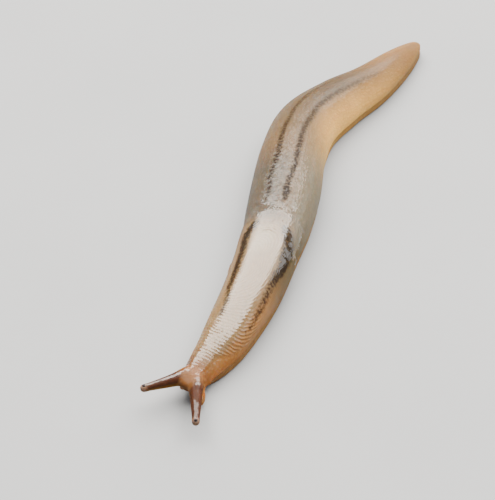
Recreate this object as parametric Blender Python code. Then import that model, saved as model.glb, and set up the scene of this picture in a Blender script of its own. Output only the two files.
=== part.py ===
"""A striped greenhouse slug at life size, crawling with its feelers out.

The frame has +Z up and its origin on the floor, under the middle of the animal's box. The snout
points to -Y and the tail bends away to +X. Lengths are in metres, and MM turns millimetres to them.

A place on the body is told by three numbers: how far back it is along the spine, from the snout;
its share of the half girth, from 0 on the middle of the back to 1 just above the foot, positive on
the animal's left; and how far it stands out from the plain body surface.
"""

import math
from functools import lru_cache

import bmesh
import bpy
import numpy as np
from mathutils import Matrix, Vector

MM = 0.001

# Driving dimensions
BODY_LENGTH = 61.4 * MM
GAP = 0.3 * MM
FINE_GAP = 0.15 * MM
FOOT_THICKNESS = 0.75 * MM
FOOT_FRONT = 1.95 * MM
FOOT_FRONT_ROUNDING = 3.2 * MM
FRINGE_STANDS_OUT = 0.12 * MM
# One half of the foot's cross-section, as shares of its half width and of its thickness
FOOT_SECTION = ((0.93, 0.0), (0.985, 0.22), (1.0, 0.5), (0.975, 0.82), (0.93, 1.0))
FLANK_BOTTOM = FOOT_THICKNESS + GAP
WIDEST_SHARE_OF_HEIGHT = 0.42
WIDEST_ABOVE_FLANK_BOTTOM = 0.12 * MM
FLANK_TUCK = 0.10
SNOUT_ROUNDING = 2.6 * MM
TAIL_ROUNDING = 7.0 * MM
# Exponents of the rounded ends; 2 is a half circle, and a higher one is blunter
SNOUT_BLUNTNESS = 2.4
TAIL_BLUNTNESS = 3.0
FOOT_FRONT_BLUNTNESS = 2.2
# The share that is left of the foot's width at its two ends, squared
FOOT_END_SHARE = 0.02
RING_SPACING = 0.9 * MM
FOOT_RING_SPACING = 1.2 * MM
RING_POINTS = 27
SECTION_SAMPLES = 160
SNOUT_START = 0.02 * MM
NORMAL_STEP = 0.1 * MM
NORMAL_STEP_GIRTH = 0.02
BALL_SIDES = 12
BALL_RINGS = 8
RING_SIDES = 18

# The spine on the floor, from the snout to the tip of the tail, in millimetres
SPINE_POINTS_MM = (
    (-10.05, -24.95),
    (-8.35, -21.75),
    (-6.15, -17.65),
    (-3.7, -11.25),
    (-1.85, -4.05),
    (-0.6, 2.45),
    (0.3, 8.95),
    (1.8, 14.3),
    (4.95, 18.5),
    (8.65, 22.3),
    (14.2, 30.05),
)

# How far back, half width, height and crest exponent of the plain body, in millimetres.
# An exponent of 2 is a round back, and a lower one draws it up into the keel of the tail.
STATIONS_MM = (
    (0.0, 1.25, 2.1, 2.2),
    (1.5, 1.35, 2.6, 2.2),
    (3.0, 1.50, 2.9, 2.2),
    (4.5, 1.75, 3.2, 2.2),
    (7.5, 2.20, 3.8, 2.2),
    (11.0, 2.45, 4.3, 2.2),
    (16.0, 2.72, 4.7, 2.2),
    (21.0, 2.92, 5.0, 2.2),
    (26.0, 3.35, 5.3, 2.2),
    (30.0, 3.50, 5.4, 2.15),
    (36.0, 3.32, 5.2, 2.1),
    (41.0, 3.20, 4.8, 2.0),
    (46.0, 2.85, 4.3, 1.9),
    (50.0, 2.40, 3.9, 1.8),
    (54.0, 2.00, 3.4, 1.7),
    (58.0, 1.45, 2.7, 1.65),
    (61.4, 0.85, 1.9, 1.65),
)

# Where the body is parted across, from the snout back
HEAD_END = 2.7 * MM
NECK_END = 6.5 * MM
TRUNK_FRONT_END = 20.5 * MM
TRUNK_MIDDLE_END = 34.0 * MM
TRUNK_REAR_END = 47.0 * MM
FOOT_FRONT_END = 20.5 * MM
FOOT_MIDDLE_END = 41.0 * MM

# The mantle, a shield over the front third of the back
MANTLE_FRONT = 3.9 * MM
MANTLE_REAR = 23.4 * MM
MANTLE_NUCLEUS_BACK = 16.3 * MM
MANTLE_NUCLEUS_GIRTH = -0.28
MANTLE_HALF_GIRTH = 0.86
MANTLE_EXPONENT = 2.5
MANTLE_LIFT = 0.14 * MM
MANTLE_THICKNESS = 0.75 * MM
MANTLE_EDGE_ROUNDING = 0.22 * MM
MANTLE_ROUND_POINTS = 56
MANTLE_RINGS = 9
MANTLE_RIDGE_HEIGHT = 0.16 * MM
MANTLE_SAMPLES_PER_RING = 4
# Shares of the way from the nucleus to the rim: where the ridges end, over what they fade, and
# where the underside has its rings
MANTLE_RIDGES_END = 0.97
MANTLE_RIDGES_FADE = 0.06
MANTLE_UNDERSIDE_RINGS = (0.8, 0.55, 0.25)
BED_TOP = 1.6 * MM

# The breathing hole on the right of the mantle, with its round lip
BREATHING_HOLE_BACK = 16.6 * MM
BREATHING_HOLE_GIRTH = -0.68
BREATHING_LIP_RADIUS = 0.36 * MM
BREATHING_LIP_THICKNESS = 0.17 * MM
BREATHING_LIP_SUNK = 0.12 * MM

# The eye feelers, the two long ones
FEELER_ROOT_BACK = 1.8 * MM
FEELER_ROOT_HEIGHT = 1.75 * MM
# Of each: its length, how far out from the spine it starts, and in degrees how far it turns out
# from the head and how far it rises, at its root and at its tip
FEELERS = {
    "left": {"side": 1, "length": 7.2 * MM, "out": 0.05 * MM, "turned": (30.5, 27.5), "raised": (5, 2)},
    "right": {"side": -1, "length": 6.0 * MM, "out": 0.25 * MM, "turned": (22, 30), "raised": (14, 11)},
}
FEELER_ROOT_SHARE = 0.30
FEELER_TIP_SHARE = 0.86
FEELER_STEP = 0.3 * MM
# Share of the feeler's length, and its radius there in millimetres
FEELER_RADII_MM = (
    (0.00, 0.95),
    (0.14, 0.84),
    (0.26, 0.66),
    (0.38, 0.53),
    (0.60, 0.44),
    (0.78, 0.36),
    (0.86, 0.35),
    (0.92, 0.38),
    (0.96, 0.34),
    (0.985, 0.22),
    (1.00, 0.07),
)
EYE_RADIUS = 0.17 * MM
EYE_GAP = 0.06 * MM
EYE_BACK_FROM_TIP = 0.33 * MM
EYE_ABOVE_MIDDLE = 0.26 * MM

# The small feelers beside the mouth, of which the right one is drawn in. Of each: how far back it
# starts, at what share of the half girth, how long it is, and how far its tip goes forward, out to
# its side and up
SMALL_FEELERS = {
    "left": {"back": 1.05 * MM, "girth": 0.90, "length": 1.9 * MM, "way": (0.9, 0.0, -0.25)},
    "right": {"back": 0.55 * MM, "girth": -1.0, "length": 0.45 * MM, "way": (0.9, -0.5, -0.25)},
}
SMALL_FEELER_RADIUS = 0.29 * MM
SMALL_FEELER_POINTS = 7
SMALL_FEELER_TAPER = 0.25
SMALL_FEELER_ELBOW = 0.25

# The lobes of the mouth, under the snout: half length, half width and half height
MOUTH_BACK = 1.3 * MM
MOUTH_HEIGHT = 0.52 * MM
MOUTH_LOBE_OUT = 0.32 * MM
MOUTH_LOBE_SIZE = (0.32 * MM, 0.42 * MM, 0.36 * MM)

SKIN = (0.62, 0.36, 0.17, 1.0)
MANTLE_SKIN = (0.66, 0.47, 0.29, 1.0)
BACK_SKIN = (0.56, 0.40, 0.28, 1.0)
FEELER_SKIN = (0.36, 0.20, 0.13, 1.0)
SOLE_SKIN = (0.76, 0.58, 0.38, 1.0)
EYE_BLACK = (0.012, 0.010, 0.012, 1.0)
WET = 0.28
WET_EYE = 0.10


def clear_scene():
    for old in list(bpy.data.objects):
        bpy.data.objects.remove(old, do_unlink=True)


def new_collection(name, is_helper=False):
    made = bpy.data.collections.new(name)
    made.hide_render = is_helper
    bpy.context.scene.collection.children.link(made)
    return made


def material(name, colour, roughness):
    made = bpy.data.materials.new(name)
    made.use_nodes = True
    shader = made.node_tree.nodes["Principled BSDF"]
    shader.inputs["Base Color"].default_value = colour
    shader.inputs["Roughness"].default_value = roughness
    shader.inputs["Metallic"].default_value = 0.0
    return made


def smooth_through(places, values, at):
    """A smooth curve through values at places, with no overshoot (Fritsch and Carlson)."""
    places = np.asarray(places, float)
    values = np.asarray(values, float)
    slopes = np.diff(values) / np.diff(places)
    tangents = np.zeros(len(values))
    same_way = slopes[:-1] * slopes[1:] > 0
    inner = 2 * slopes[:-1] * slopes[1:] / np.where(same_way, slopes[:-1] + slopes[1:], 1)
    tangents[1:-1] = np.where(same_way, inner, 0)
    tangents[0] = slopes[0]
    tangents[-1] = slopes[-1]
    at = np.clip(at, places[0], places[-1])
    i = np.clip(np.searchsorted(places, at, side="right") - 1, 0, len(places) - 2)
    wide = places[i + 1] - places[i]
    t = (at - places[i]) / wide
    rise = (1 + 2 * t) * (1 - t) ** 2 * values[i] + t * t * (3 - 2 * t) * values[i + 1]
    lean = t * (1 - t) ** 2 * tangents[i] - t * t * (1 - t) * tangents[i + 1]
    return rise + wide * lean


def spine_table():
    """Points every small step along a Catmull-Rom curve through the spine's points, with their
    distance from the snout, stretched so that the last one is BODY_LENGTH."""
    knots = np.array(SPINE_POINTS_MM) * MM
    first = 2 * knots[0] - knots[1]
    last = 2 * knots[-1] - knots[-2]
    knots = np.vstack([first, knots, last])
    t = np.linspace(0, 1, 60, endpoint=False)[:, None]
    pieces = []
    for a, b, c, d in zip(knots, knots[1:], knots[2:], knots[3:]):
        pieces.append(
            0.5 * (2 * b + (c - a) * t + (2 * a - 5 * b + 4 * c - d) * t**2 + (3 * b - a - 3 * c + d) * t**3)
        )
    line = np.vstack([*pieces, knots[-2:-1]])
    back = np.concatenate([[0], np.cumsum(np.linalg.norm(np.diff(line, axis=0), axis=1))])
    return back * (BODY_LENGTH / back[-1]), line


SPINE_BACK, SPINE_LINE = spine_table()
SPINE_HEADING = np.gradient(SPINE_LINE, SPINE_BACK, axis=0)


def spine_at(back):
    """(point on the floor, unit vector towards the tail, unit vector to the animal's left)."""
    point = np.array([np.interp(back, SPINE_BACK, SPINE_LINE[:, i]) for i in (0, 1)] + [0.0])
    tailward = np.array([np.interp(back, SPINE_BACK, SPINE_HEADING[:, i]) for i in (0, 1)] + [0.0])
    tailward /= np.linalg.norm(tailward)
    left = np.array([tailward[1], -tailward[0], 0.0])
    return point, tailward, left


def station(back):
    """(half width, height, exponent, lowest level of the flank) of the body at that place."""
    table = np.array(STATIONS_MM)
    half_width, height, exponent = (smooth_through(table[:, 0], table[:, i], back / MM) for i in (1, 2, 3))
    snout = np.clip(1 - back / SNOUT_ROUNDING, 0, 1)
    tail = np.clip(1 - (BODY_LENGTH - back) / TAIL_ROUNDING, 0, 1)
    rounding = math.sqrt(max(0.0, 1 - snout**SNOUT_BLUNTNESS) * max(0.0, 1 - tail**TAIL_BLUNTNESS))
    half_width = half_width * MM * rounding
    height = height * MM
    middle = widest_level(height)
    # The snout and the tail close towards the level where the body is widest.
    height = middle + (height - middle) * rounding
    low = middle + (FLANK_BOTTOM - middle) * rounding
    return half_width, height, exponent, low


def widest_level(height):
    return max(WIDEST_SHARE_OF_HEIGHT * height, FLANK_BOTTOM + WIDEST_ABOVE_FLANK_BOTTOM)


@lru_cache(maxsize=None)
def section_curve(back):
    """Half of the body's cross-section, from the middle of the back down to the foot, as points
    (out, up), with the share of the half girth at each."""
    half_width, height, exponent, low = station(back)
    middle = widest_level(float(smooth_through(*np.array(STATIONS_MM)[:, [0, 2]].T, back / MM)) * MM)
    turn = np.linspace(0, math.pi / 2, SECTION_SAMPLES)
    out = half_width * np.sin(turn) ** (2 / exponent)
    up = middle + (height - middle) * np.cos(turn) ** (2 / exponent)
    drop = np.linspace(0, 1, SECTION_SAMPLES // 4)[1:]
    flank_out = half_width * (1 - FLANK_TUCK * drop**2)
    flank_up = middle + (low - middle) * drop
    curve = np.column_stack([np.concatenate([out, flank_out]), np.concatenate([up, flank_up])])
    steps = np.linalg.norm(np.diff(curve, axis=0), axis=1)
    share = np.concatenate([[0], np.cumsum(steps)])
    return curve, share / share[-1], share[-1]


def surface_point(back, girth):
    """The point of the plain body surface at that distance back and share of the half girth."""
    point, _, left = spine_at(back)
    curve, share, _ = section_curve(back)
    out, up = (np.interp(abs(girth), share, curve[:, i]) for i in (0, 1))
    return point + math.copysign(out, girth) * left + np.array([0, 0, up])


def on_body(back, girth, stands_out=0.0):
    """A point that stands out from the surface by that much, and the way out of the body there."""
    place = surface_point(back, girth)
    before, behind = max(back - NORMAL_STEP, SNOUT_START), min(back + NORMAL_STEP, BODY_LENGTH - GAP)
    along = surface_point(behind, girth) - surface_point(before, girth)
    right, left = max(girth - NORMAL_STEP_GIRTH, -1.0), min(girth + NORMAL_STEP_GIRTH, 1.0)
    outward = np.cross(surface_point(back, left) - surface_point(back, right), along)
    outward /= max(np.linalg.norm(outward), 1e-18)
    return place + stands_out * outward, outward


def mesh_object(name, points, faces, look, collection):
    mesh = bpy.data.meshes.new(name)
    mesh.from_pydata([tuple(map(float, p)) for p in points], [], faces)
    made = bpy.data.objects.new(name, mesh)
    collection.objects.link(made)
    weld(made)
    finish_mesh(made, look)
    return made


def weld(made, within=0.002 * MM):
    """Joins points that lie together and turns every face outwards."""
    work = bmesh.new()
    work.from_mesh(made.data)
    bmesh.ops.remove_doubles(work, verts=work.verts, dist=within)
    bmesh.ops.recalc_face_normals(work, faces=work.faces)
    work.to_mesh(made.data)
    work.free()


def finish_mesh(made, look):
    """Smooth shading with sharp edges kept, and one material."""
    bpy.context.view_layer.objects.active = made
    made.data.materials.clear()
    if look is not None:
        made.data.materials.append(look)
    made.data.shade_smooth()
    made.data.set_sharp_from_angle(angle=math.radians(40))


def loft(name, rings, look, collection):
    """A closed skin over rings of equal length, with a flat cap at each end."""
    count = len(rings[0])
    points = np.vstack(rings)
    faces = []
    for i in range(len(rings) - 1):
        for j in range(count):
            k = (j + 1) % count
            a, b = i * count, (i + 1) * count
            faces.append((a + j, b + j, b + k, a + k))
    faces.append(tuple(range(count)))
    faces.append(tuple(range(len(points) - 1, len(points) - count - 1, -1)))
    return mesh_object(name, points, faces, look, collection)


def ring_places(start, end):
    """Distances back for the rings between two cuts, closer together where an end is rounded off."""
    count = max(3, round((end - start) / RING_SPACING) + 1)
    t = np.linspace(0, 1, count)
    if start <= 0.05 * MM:
        t = 1 - np.cos(t * math.pi / 2)
    if end >= BODY_LENGTH - 0.4 * MM:
        t = np.sin(t * math.pi / 2)
    return start + (end - start) * t


def body_length(name, start, end, look, collection):
    """A length of the body above the foot, from one cut to the next."""
    rings = []
    for back in ring_places(start, end):
        girths = np.linspace(-1, 1, RING_POINTS)
        rings.append(np.array([on_body(back, q)[0] for q in girths]))
    return loft(name, rings, look, collection)


def foot_half_width(back):
    half_width = float(smooth_through(*np.array(STATIONS_MM)[:, [0, 1]].T, back / MM)) * MM
    front = np.clip(1 - (back - FOOT_FRONT) / FOOT_FRONT_ROUNDING, 0, 1)
    rear = np.clip(1 - (BODY_LENGTH - back) / TAIL_ROUNDING, 0, 1)
    front = max(FOOT_END_SHARE, 1 - front**FOOT_FRONT_BLUNTNESS)
    rear = max(FOOT_END_SHARE, 1 - rear**TAIL_BLUNTNESS)
    return (half_width * (1 - FLANK_TUCK) + FRINGE_STANDS_OUT) * math.sqrt(front * rear)


def foot_length(name, start, end, look, collection):
    """A length of the foot: a flat sole whose thin fringe stands out all round."""
    count = max(3, round((end - start) / FOOT_RING_SPACING) + 1)
    t = np.linspace(0, 1, count)
    if start <= FOOT_FRONT:
        t = 1 - np.cos(t * math.pi / 2)
    if end >= BODY_LENGTH - 0.4 * MM:
        t = np.sin(t * math.pi / 2)
    rings = []
    for back in start + (end - start) * t:
        point, _, left = spine_at(back)
        wide = foot_half_width(back)
        half = [(out * wide, up * FOOT_THICKNESS) for out, up in FOOT_SECTION]
        outline = [*half, *[(-out, up) for out, up in reversed(half)]]
        rings.append(np.array([point + out * left + np.array([0, 0, up]) for out, up in outline])[::-1])
    return loft(name, rings, look, collection)


def mantle_rim(grow=0.0):
    """The mantle's outline as (back, share of the half girth), a rounded oblong, evenly stepped."""
    centre = (MANTLE_FRONT + MANTLE_REAR) / 2
    half_length = (MANTLE_REAR - MANTLE_FRONT) / 2
    _, _, girth_length = section_curve(centre)
    turn = np.linspace(0, 2 * math.pi, 721)
    power = 2 / MANTLE_EXPONENT
    c, s = np.cos(turn), np.sin(turn)
    back = (half_length + grow) * np.sign(c) * np.abs(c) ** power
    girth = (MANTLE_HALF_GIRTH * girth_length + grow) * np.sign(s) * np.abs(s) ** power
    walked = np.concatenate([[0], np.cumsum(np.hypot(np.diff(back), np.diff(girth)))])
    even = np.linspace(0, walked[-1], MANTLE_ROUND_POINTS, endpoint=False)
    back, girth = (np.interp(even, walked, v) for v in (back, girth))
    return np.column_stack([centre + back, girth / girth_length])


def mantle_shell(name, look, collection, grow=0.0, top=None, depth=None):
    """A domed shell that follows the back. Its rings are drawn in from the rim to the nucleus.
    With grow, top and depth it makes the cutter of the hollow that the mantle lies in."""
    rim = mantle_rim(grow)
    nucleus = np.array([MANTLE_NUCLEUS_BACK, MANTLE_NUCLEUS_GIRTH])
    is_cutter = top is not None
    top = MANTLE_LIFT if top is None else top
    bottom = MANTLE_LIFT - MANTLE_THICKNESS if depth is None else -depth
    edge = 0.0 if is_cutter else MANTLE_EDGE_ROUNDING

    def ring(reach, stands_out):
        places = nucleus + (rim - nucleus) * reach
        return [on_body(b, q, stands_out)[0] for b, q in places]

    rows = []
    outer = MANTLE_RINGS * (2 if is_cutter else MANTLE_SAMPLES_PER_RING)
    for i in range(1, outer + 1):
        reach = MANTLE_RIDGES_END * i / outer
        wave = 0.5 - 0.5 * math.cos(2 * math.pi * MANTLE_RINGS * i / outer)
        fade = min(1.0, (1 - reach) / MANTLE_RIDGES_FADE)
        rows.append(ring(reach, top + (0 if is_cutter else MANTLE_RIDGE_HEIGHT * wave * fade)))
    rows.append(ring(1.0, top - edge))
    rows.append(ring(0.995, bottom))
    for reach in MANTLE_UNDERSIDE_RINGS:
        rows.append(ring(reach, bottom))
    count = len(rim)
    points = [p for row in rows for p in row]
    faces = []
    for i in range(len(rows) - 1):
        for j in range(count):
            k = (j + 1) % count
            a, b = i * count, (i + 1) * count
            faces.append((a + j, a + k, b + k, b + j))
    points.append(on_body(*nucleus, top)[0])
    points.append(on_body(*nucleus, bottom)[0])
    last = (len(rows) - 1) * count
    for j in range(count):
        k = (j + 1) % count
        faces.append((len(points) - 2, k, j))
        faces.append((len(points) - 1, last + j, last + k))
    return mesh_object(name, points, faces, look, collection)


def boolean(target, cutter, operation):
    """Applies one Boolean and removes what was cut with."""
    modifier = target.modifiers.new(operation.lower(), "BOOLEAN")
    modifier.operation = operation
    modifier.solver = "EXACT"
    modifier.object = cutter
    graph = bpy.context.evaluated_depsgraph_get()
    graph.update()
    mesh = bpy.data.meshes.new_from_object(target.evaluated_get(graph))
    target.modifiers.clear()
    target.data = mesh


def feeler_line(feeler):
    """The middle line of an eye feeler, from inside the head to its tip."""
    point, tailward, left = spine_at(FEELER_ROOT_BACK)
    side = feeler["side"]
    line = [point + side * feeler["out"] * left + np.array([0, 0, FEELER_ROOT_HEIGHT])]
    count = round(feeler["length"] / FEELER_STEP) + 1
    for t in np.linspace(0, 1, count)[1:]:
        turned, raised = (math.radians(np.interp(t, (0, 1), feeler[key])) for key in ("turned", "raised"))
        flat = -math.cos(turned) * tailward + side * math.sin(turned) * left
        way = math.cos(raised) * flat + np.array([0, 0, math.sin(raised)])
        line.append(line[-1] + way * feeler["length"] / (count - 1))
    return np.array(line)


def along_feeler(feeler, start, end):
    """Points of the feeler's middle line between two distances from its root, with their radii."""
    line = feeler_line(feeler)
    walked = np.linspace(0, feeler["length"], len(line))
    table = np.array(FEELER_RADII_MM) * (feeler["length"], MM)
    at = np.linspace(start, end, max(3, round((end - start) / FEELER_STEP) + 1))
    if end >= feeler["length"]:
        at = np.unique(np.concatenate([at[:-2], table[table[:, 0] > at[-3], 0]]))
    points = np.column_stack([np.interp(at, walked, line[:, i]) for i in range(3)])
    return points, smooth_through(table[:, 0], table[:, 1], at)


def tube(name, points, radii, look, collection):
    """A curve with a round bevel of changing radius, made a mesh with its caps welded on."""
    curve = bpy.data.curves.new(name, "CURVE")
    curve.dimensions = "3D"
    curve.bevel_depth = 1.0
    curve.bevel_resolution = 4
    curve.use_fill_caps = True
    spline = curve.splines.new("POLY")
    spline.points.add(len(points) - 1)
    for knot, place, radius in zip(spline.points, points, radii):
        knot.co = (*place, 1)
        knot.radius = radius
    guide = bpy.data.objects.new(name + "_line", curve)
    collection.objects.link(guide)
    graph = bpy.context.evaluated_depsgraph_get()
    graph.update()
    mesh = bpy.data.meshes.new_from_object(guide.evaluated_get(graph))
    bpy.data.objects.remove(guide)
    bpy.data.curves.remove(curve)
    made = bpy.data.objects.new(name, mesh)
    mesh.name = name
    collection.objects.link(made)
    weld(made)
    finish_mesh(made, look)
    return made


def adopt(made, name, collection):
    """Names an object that an operator made, and moves it to its collection."""
    made.name = name
    made.data.name = name
    for other in list(made.users_collection):
        other.objects.unlink(made)
    collection.objects.link(made)
    return made


def ball(name, place, size, look, collection, turned=None):
    """An ellipsoid of the given half sizes."""
    bpy.ops.mesh.primitive_uv_sphere_add(segments=BALL_SIDES, ring_count=BALL_RINGS, radius=1.0)
    made = adopt(bpy.context.object, name, collection)
    turn = Matrix.Identity(4) if turned is None else turned
    made.data.transform(Matrix.Translation(Vector(place)) @ turn @ Matrix.Diagonal((*size, 1)))
    finish_mesh(made, look)
    return made


def facing(way):
    """A rotation whose local +X lies along a level direction."""
    x = Vector(way).normalized()
    z = Vector((0, 0, 1))
    return Matrix((x, z.cross(x), z)).transposed().to_4x4()


def standing_on(place, outward):
    """A placement whose origin is a place and whose +Z points out of the skin."""
    return Matrix.Translation(Vector(place)) @ Vector(outward).to_track_quat("Z", "Y").to_matrix().to_4x4()


def breathing_hole(mantle, look, collection, helpers):
    """Bores the breathing hole through the mantle and sets its lip, a low ring, in it."""
    place, outward = on_body(BREATHING_HOLE_BACK, BREATHING_HOLE_GIRTH, MANTLE_LIFT)
    bore = BREATHING_LIP_RADIUS + BREATHING_LIP_THICKNESS + FINE_GAP
    bpy.ops.mesh.primitive_cylinder_add(vertices=RING_SIDES, radius=bore, depth=4 * MANTLE_THICKNESS)
    drill = adopt(bpy.context.object, "breathing_hole_drill", helpers)
    drill.data.transform(standing_on(place, outward))
    boolean(mantle, drill, "DIFFERENCE")
    bpy.ops.mesh.primitive_torus_add(
        major_radius=BREATHING_LIP_RADIUS,
        minor_radius=BREATHING_LIP_THICKNESS,
        major_segments=RING_SIDES,
        minor_segments=8,
    )
    lip = adopt(bpy.context.object, "breathing_hole_lip", collection)
    lip.data.transform(standing_on(place - outward * BREATHING_LIP_SUNK, outward))
    finish_mesh(lip, look)


def eye_feeler(name, feeler, head, look, eye_look, collection, helpers):
    """The feeler's flared root is one with the head. Its stalk and its tip are parted by thin cuts,
    and the eye lies in a socket on the upper side of the tip."""
    length = feeler["length"]
    root_end, stalk_end = FEELER_ROOT_SHARE * length, FEELER_TIP_SHARE * length
    root = tube(f"root_{name}", *along_feeler(feeler, 0.0, root_end), None, helpers)
    boolean(head, root, "UNION")
    stalk = along_feeler(feeler, root_end + FINE_GAP, stalk_end)
    tube(f"eye_feeler_{name}", *stalk, look, collection)
    end = along_feeler(feeler, stalk_end + FINE_GAP, length)
    tip = tube(f"eye_feeler_tip_{name}", *end, look, collection)
    line = feeler_line(feeler)
    way = line[-1] - line[-2]
    way /= np.linalg.norm(way)
    upward = np.array([0, 0, 1.0]) - way[2] * way
    upward /= np.linalg.norm(upward)
    place = line[-1] - way * EYE_BACK_FROM_TIP + upward * EYE_ABOVE_MIDDLE
    socket = ball(f"socket_{name}", place, (EYE_RADIUS + EYE_GAP,) * 3, None, helpers)
    boolean(tip, socket, "DIFFERENCE")
    ball(f"eye_{name}", place, (EYE_RADIUS,) * 3, eye_look, collection)


def small_feeler(name, feeler, look, collection):
    """A short feeler that leaves the corner of the snout square to the skin and bends forward."""
    place, outward = on_body(feeler["back"], feeler["girth"], FINE_GAP)
    _, tailward, left = spine_at(feeler["back"])
    forward, sideways, upward = feeler["way"]
    sideways = math.copysign(sideways, feeler["girth"])
    way = -forward * tailward + sideways * left + np.array([0, 0, upward])
    elbow = place + SMALL_FEELER_ELBOW * feeler["length"] * outward
    tip = elbow + (1 - SMALL_FEELER_ELBOW) * feeler["length"] * way / np.linalg.norm(way)
    t = np.linspace(0, 1, SMALL_FEELER_POINTS)[:, None]
    points = (1 - t) ** 2 * place + 2 * t * (1 - t) * elbow + t**2 * tip
    radii = SMALL_FEELER_RADIUS * (1 - (1 - SMALL_FEELER_TAPER) * t[:, 0] ** 4)
    tube(f"small_feeler_{name}", points, radii, look, collection)


def mouth(look, collection):
    """Two soft lobes side by side, joined into one."""
    point, tailward, left = spine_at(MOUTH_BACK)
    lobes = []
    for side in (1, -1):
        place = point + side * MOUTH_LOBE_OUT * left + np.array([0, 0, MOUTH_HEIGHT])
        lobes.append(ball("mouth", place, MOUTH_LOBE_SIZE, look, collection, facing(tailward)))
    boolean(lobes[0], lobes[1], "UNION")
    bpy.data.objects.remove(lobes[1])


def main():
    clear_scene()
    slug = new_collection("striped_greenhouse_slug")
    helpers = new_collection("cutters", is_helper=True)
    skin = material("flank_skin", SKIN, WET)
    back_skin = material("back_skin", BACK_SKIN, WET)
    mantle_skin = material("mantle_skin", MANTLE_SKIN, WET)
    feeler_skin = material("feeler_skin", FEELER_SKIN, WET)
    sole_skin = material("sole_skin", SOLE_SKIN, WET)
    eye_black = material("eye_black", EYE_BLACK, WET_EYE)

    foot_length("foot_front", FOOT_FRONT, FOOT_FRONT_END, sole_skin, slug)
    foot_length("foot_middle", FOOT_FRONT_END + GAP, FOOT_MIDDLE_END, sole_skin, slug)
    foot_length("foot_rear", FOOT_MIDDLE_END + GAP, BODY_LENGTH, sole_skin, slug)

    head = body_length("head", SNOUT_START, HEAD_END, skin, slug)
    neck = body_length("neck", HEAD_END + GAP, NECK_END, skin, slug)
    front = body_length("trunk_front", NECK_END + GAP, TRUNK_FRONT_END, skin, slug)
    middle = body_length("trunk_middle", TRUNK_FRONT_END + GAP, TRUNK_MIDDLE_END, back_skin, slug)
    body_length("trunk_rear", TRUNK_MIDDLE_END + GAP, TRUNK_REAR_END, back_skin, slug)
    body_length("tail", TRUNK_REAR_END + GAP, BODY_LENGTH - GAP, back_skin, slug)

    mantle = mantle_shell("mantle", mantle_skin, slug)
    bed_depth = MANTLE_THICKNESS - MANTLE_LIFT + GAP
    bed = mantle_shell("mantle_bed", None, helpers, grow=GAP, top=BED_TOP, depth=bed_depth)
    for piece in (neck, front, middle):
        boolean(piece, bed, "DIFFERENCE")
    breathing_hole(mantle, mantle_skin, slug, helpers)

    for name, feeler in FEELERS.items():
        eye_feeler(name, feeler, head, feeler_skin, eye_black, slug, helpers)
    for name, feeler in SMALL_FEELERS.items():
        small_feeler(name, feeler, skin, slug)
    mouth(skin, slug)
    for cutter in list(helpers.objects):
        bpy.data.objects.remove(cutter)


main()
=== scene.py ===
# %% [markdown]
# # A striped greenhouse slug, dressed
#
# A slug is one soft bag of wet skin: no plates, no joints, no seams. The solids that carry its
# weight are parted into head, neck, trunk, tail and foot, so this file covers them all with ONE
# skin and leaves only the two eyes as pieces of their own.
#
# The skin is made in three steps. First, plain closed shapes are laid over each other and fused by
# a voxel remesh, which melts every junction. Then each point is put back on the exact surface
# that the body's own numbers give, so that the wet gloss runs smooth. Last come the forms that are
# too fine for the solids: the mantle's free edge, its ridges and the breathing hole.

# %% The frame
import math

import bmesh
import bpy
import numpy as np
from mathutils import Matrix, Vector


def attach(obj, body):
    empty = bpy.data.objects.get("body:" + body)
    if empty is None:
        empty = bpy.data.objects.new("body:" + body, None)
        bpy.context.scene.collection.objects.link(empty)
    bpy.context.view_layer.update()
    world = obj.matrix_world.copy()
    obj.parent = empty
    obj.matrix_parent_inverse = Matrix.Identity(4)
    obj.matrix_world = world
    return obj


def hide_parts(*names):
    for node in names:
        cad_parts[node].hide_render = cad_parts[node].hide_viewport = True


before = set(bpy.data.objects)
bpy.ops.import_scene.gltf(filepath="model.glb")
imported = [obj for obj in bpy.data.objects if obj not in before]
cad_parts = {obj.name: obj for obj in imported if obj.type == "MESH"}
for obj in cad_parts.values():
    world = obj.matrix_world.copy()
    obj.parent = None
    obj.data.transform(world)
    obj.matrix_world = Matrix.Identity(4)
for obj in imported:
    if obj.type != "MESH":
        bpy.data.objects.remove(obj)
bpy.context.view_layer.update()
MM = 0.001


def put_in_scene(name, data):
    """A new object in the scene, with that mesh, light or camera."""
    made = bpy.data.objects.new(name, data)
    bpy.context.scene.collection.objects.link(made)
    return made


# %% [markdown]
# ## The body's numbers
#
# A crawling slug is a long bag on a flat foot. It could be sculpted by hand, but then nothing would
# tell a later step where the crest of the back or the edge of the mantle is. So the body is a
# table: how wide and high it is at each distance back from the snout, along a curved spine on the
# floor. An exponent says how sharp its crest is; it falls towards the tail, which has a keel. All
# numbers here are millimetres, and the mesh is turned to metres at the very end.

# %% Spine and stations
BODY_LENGTH = 61.4
TAIL_END = 61.1
SPINE_POINTS = (
    (-10.05, -24.95), (-8.35, -21.75), (-6.15, -17.65), (-3.7, -11.25), (-1.85, -4.05),
    (-0.6, 2.45), (0.3, 8.95), (1.8, 14.3), (4.95, 18.5), (8.65, 22.3), (14.2, 30.05),
)
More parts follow.
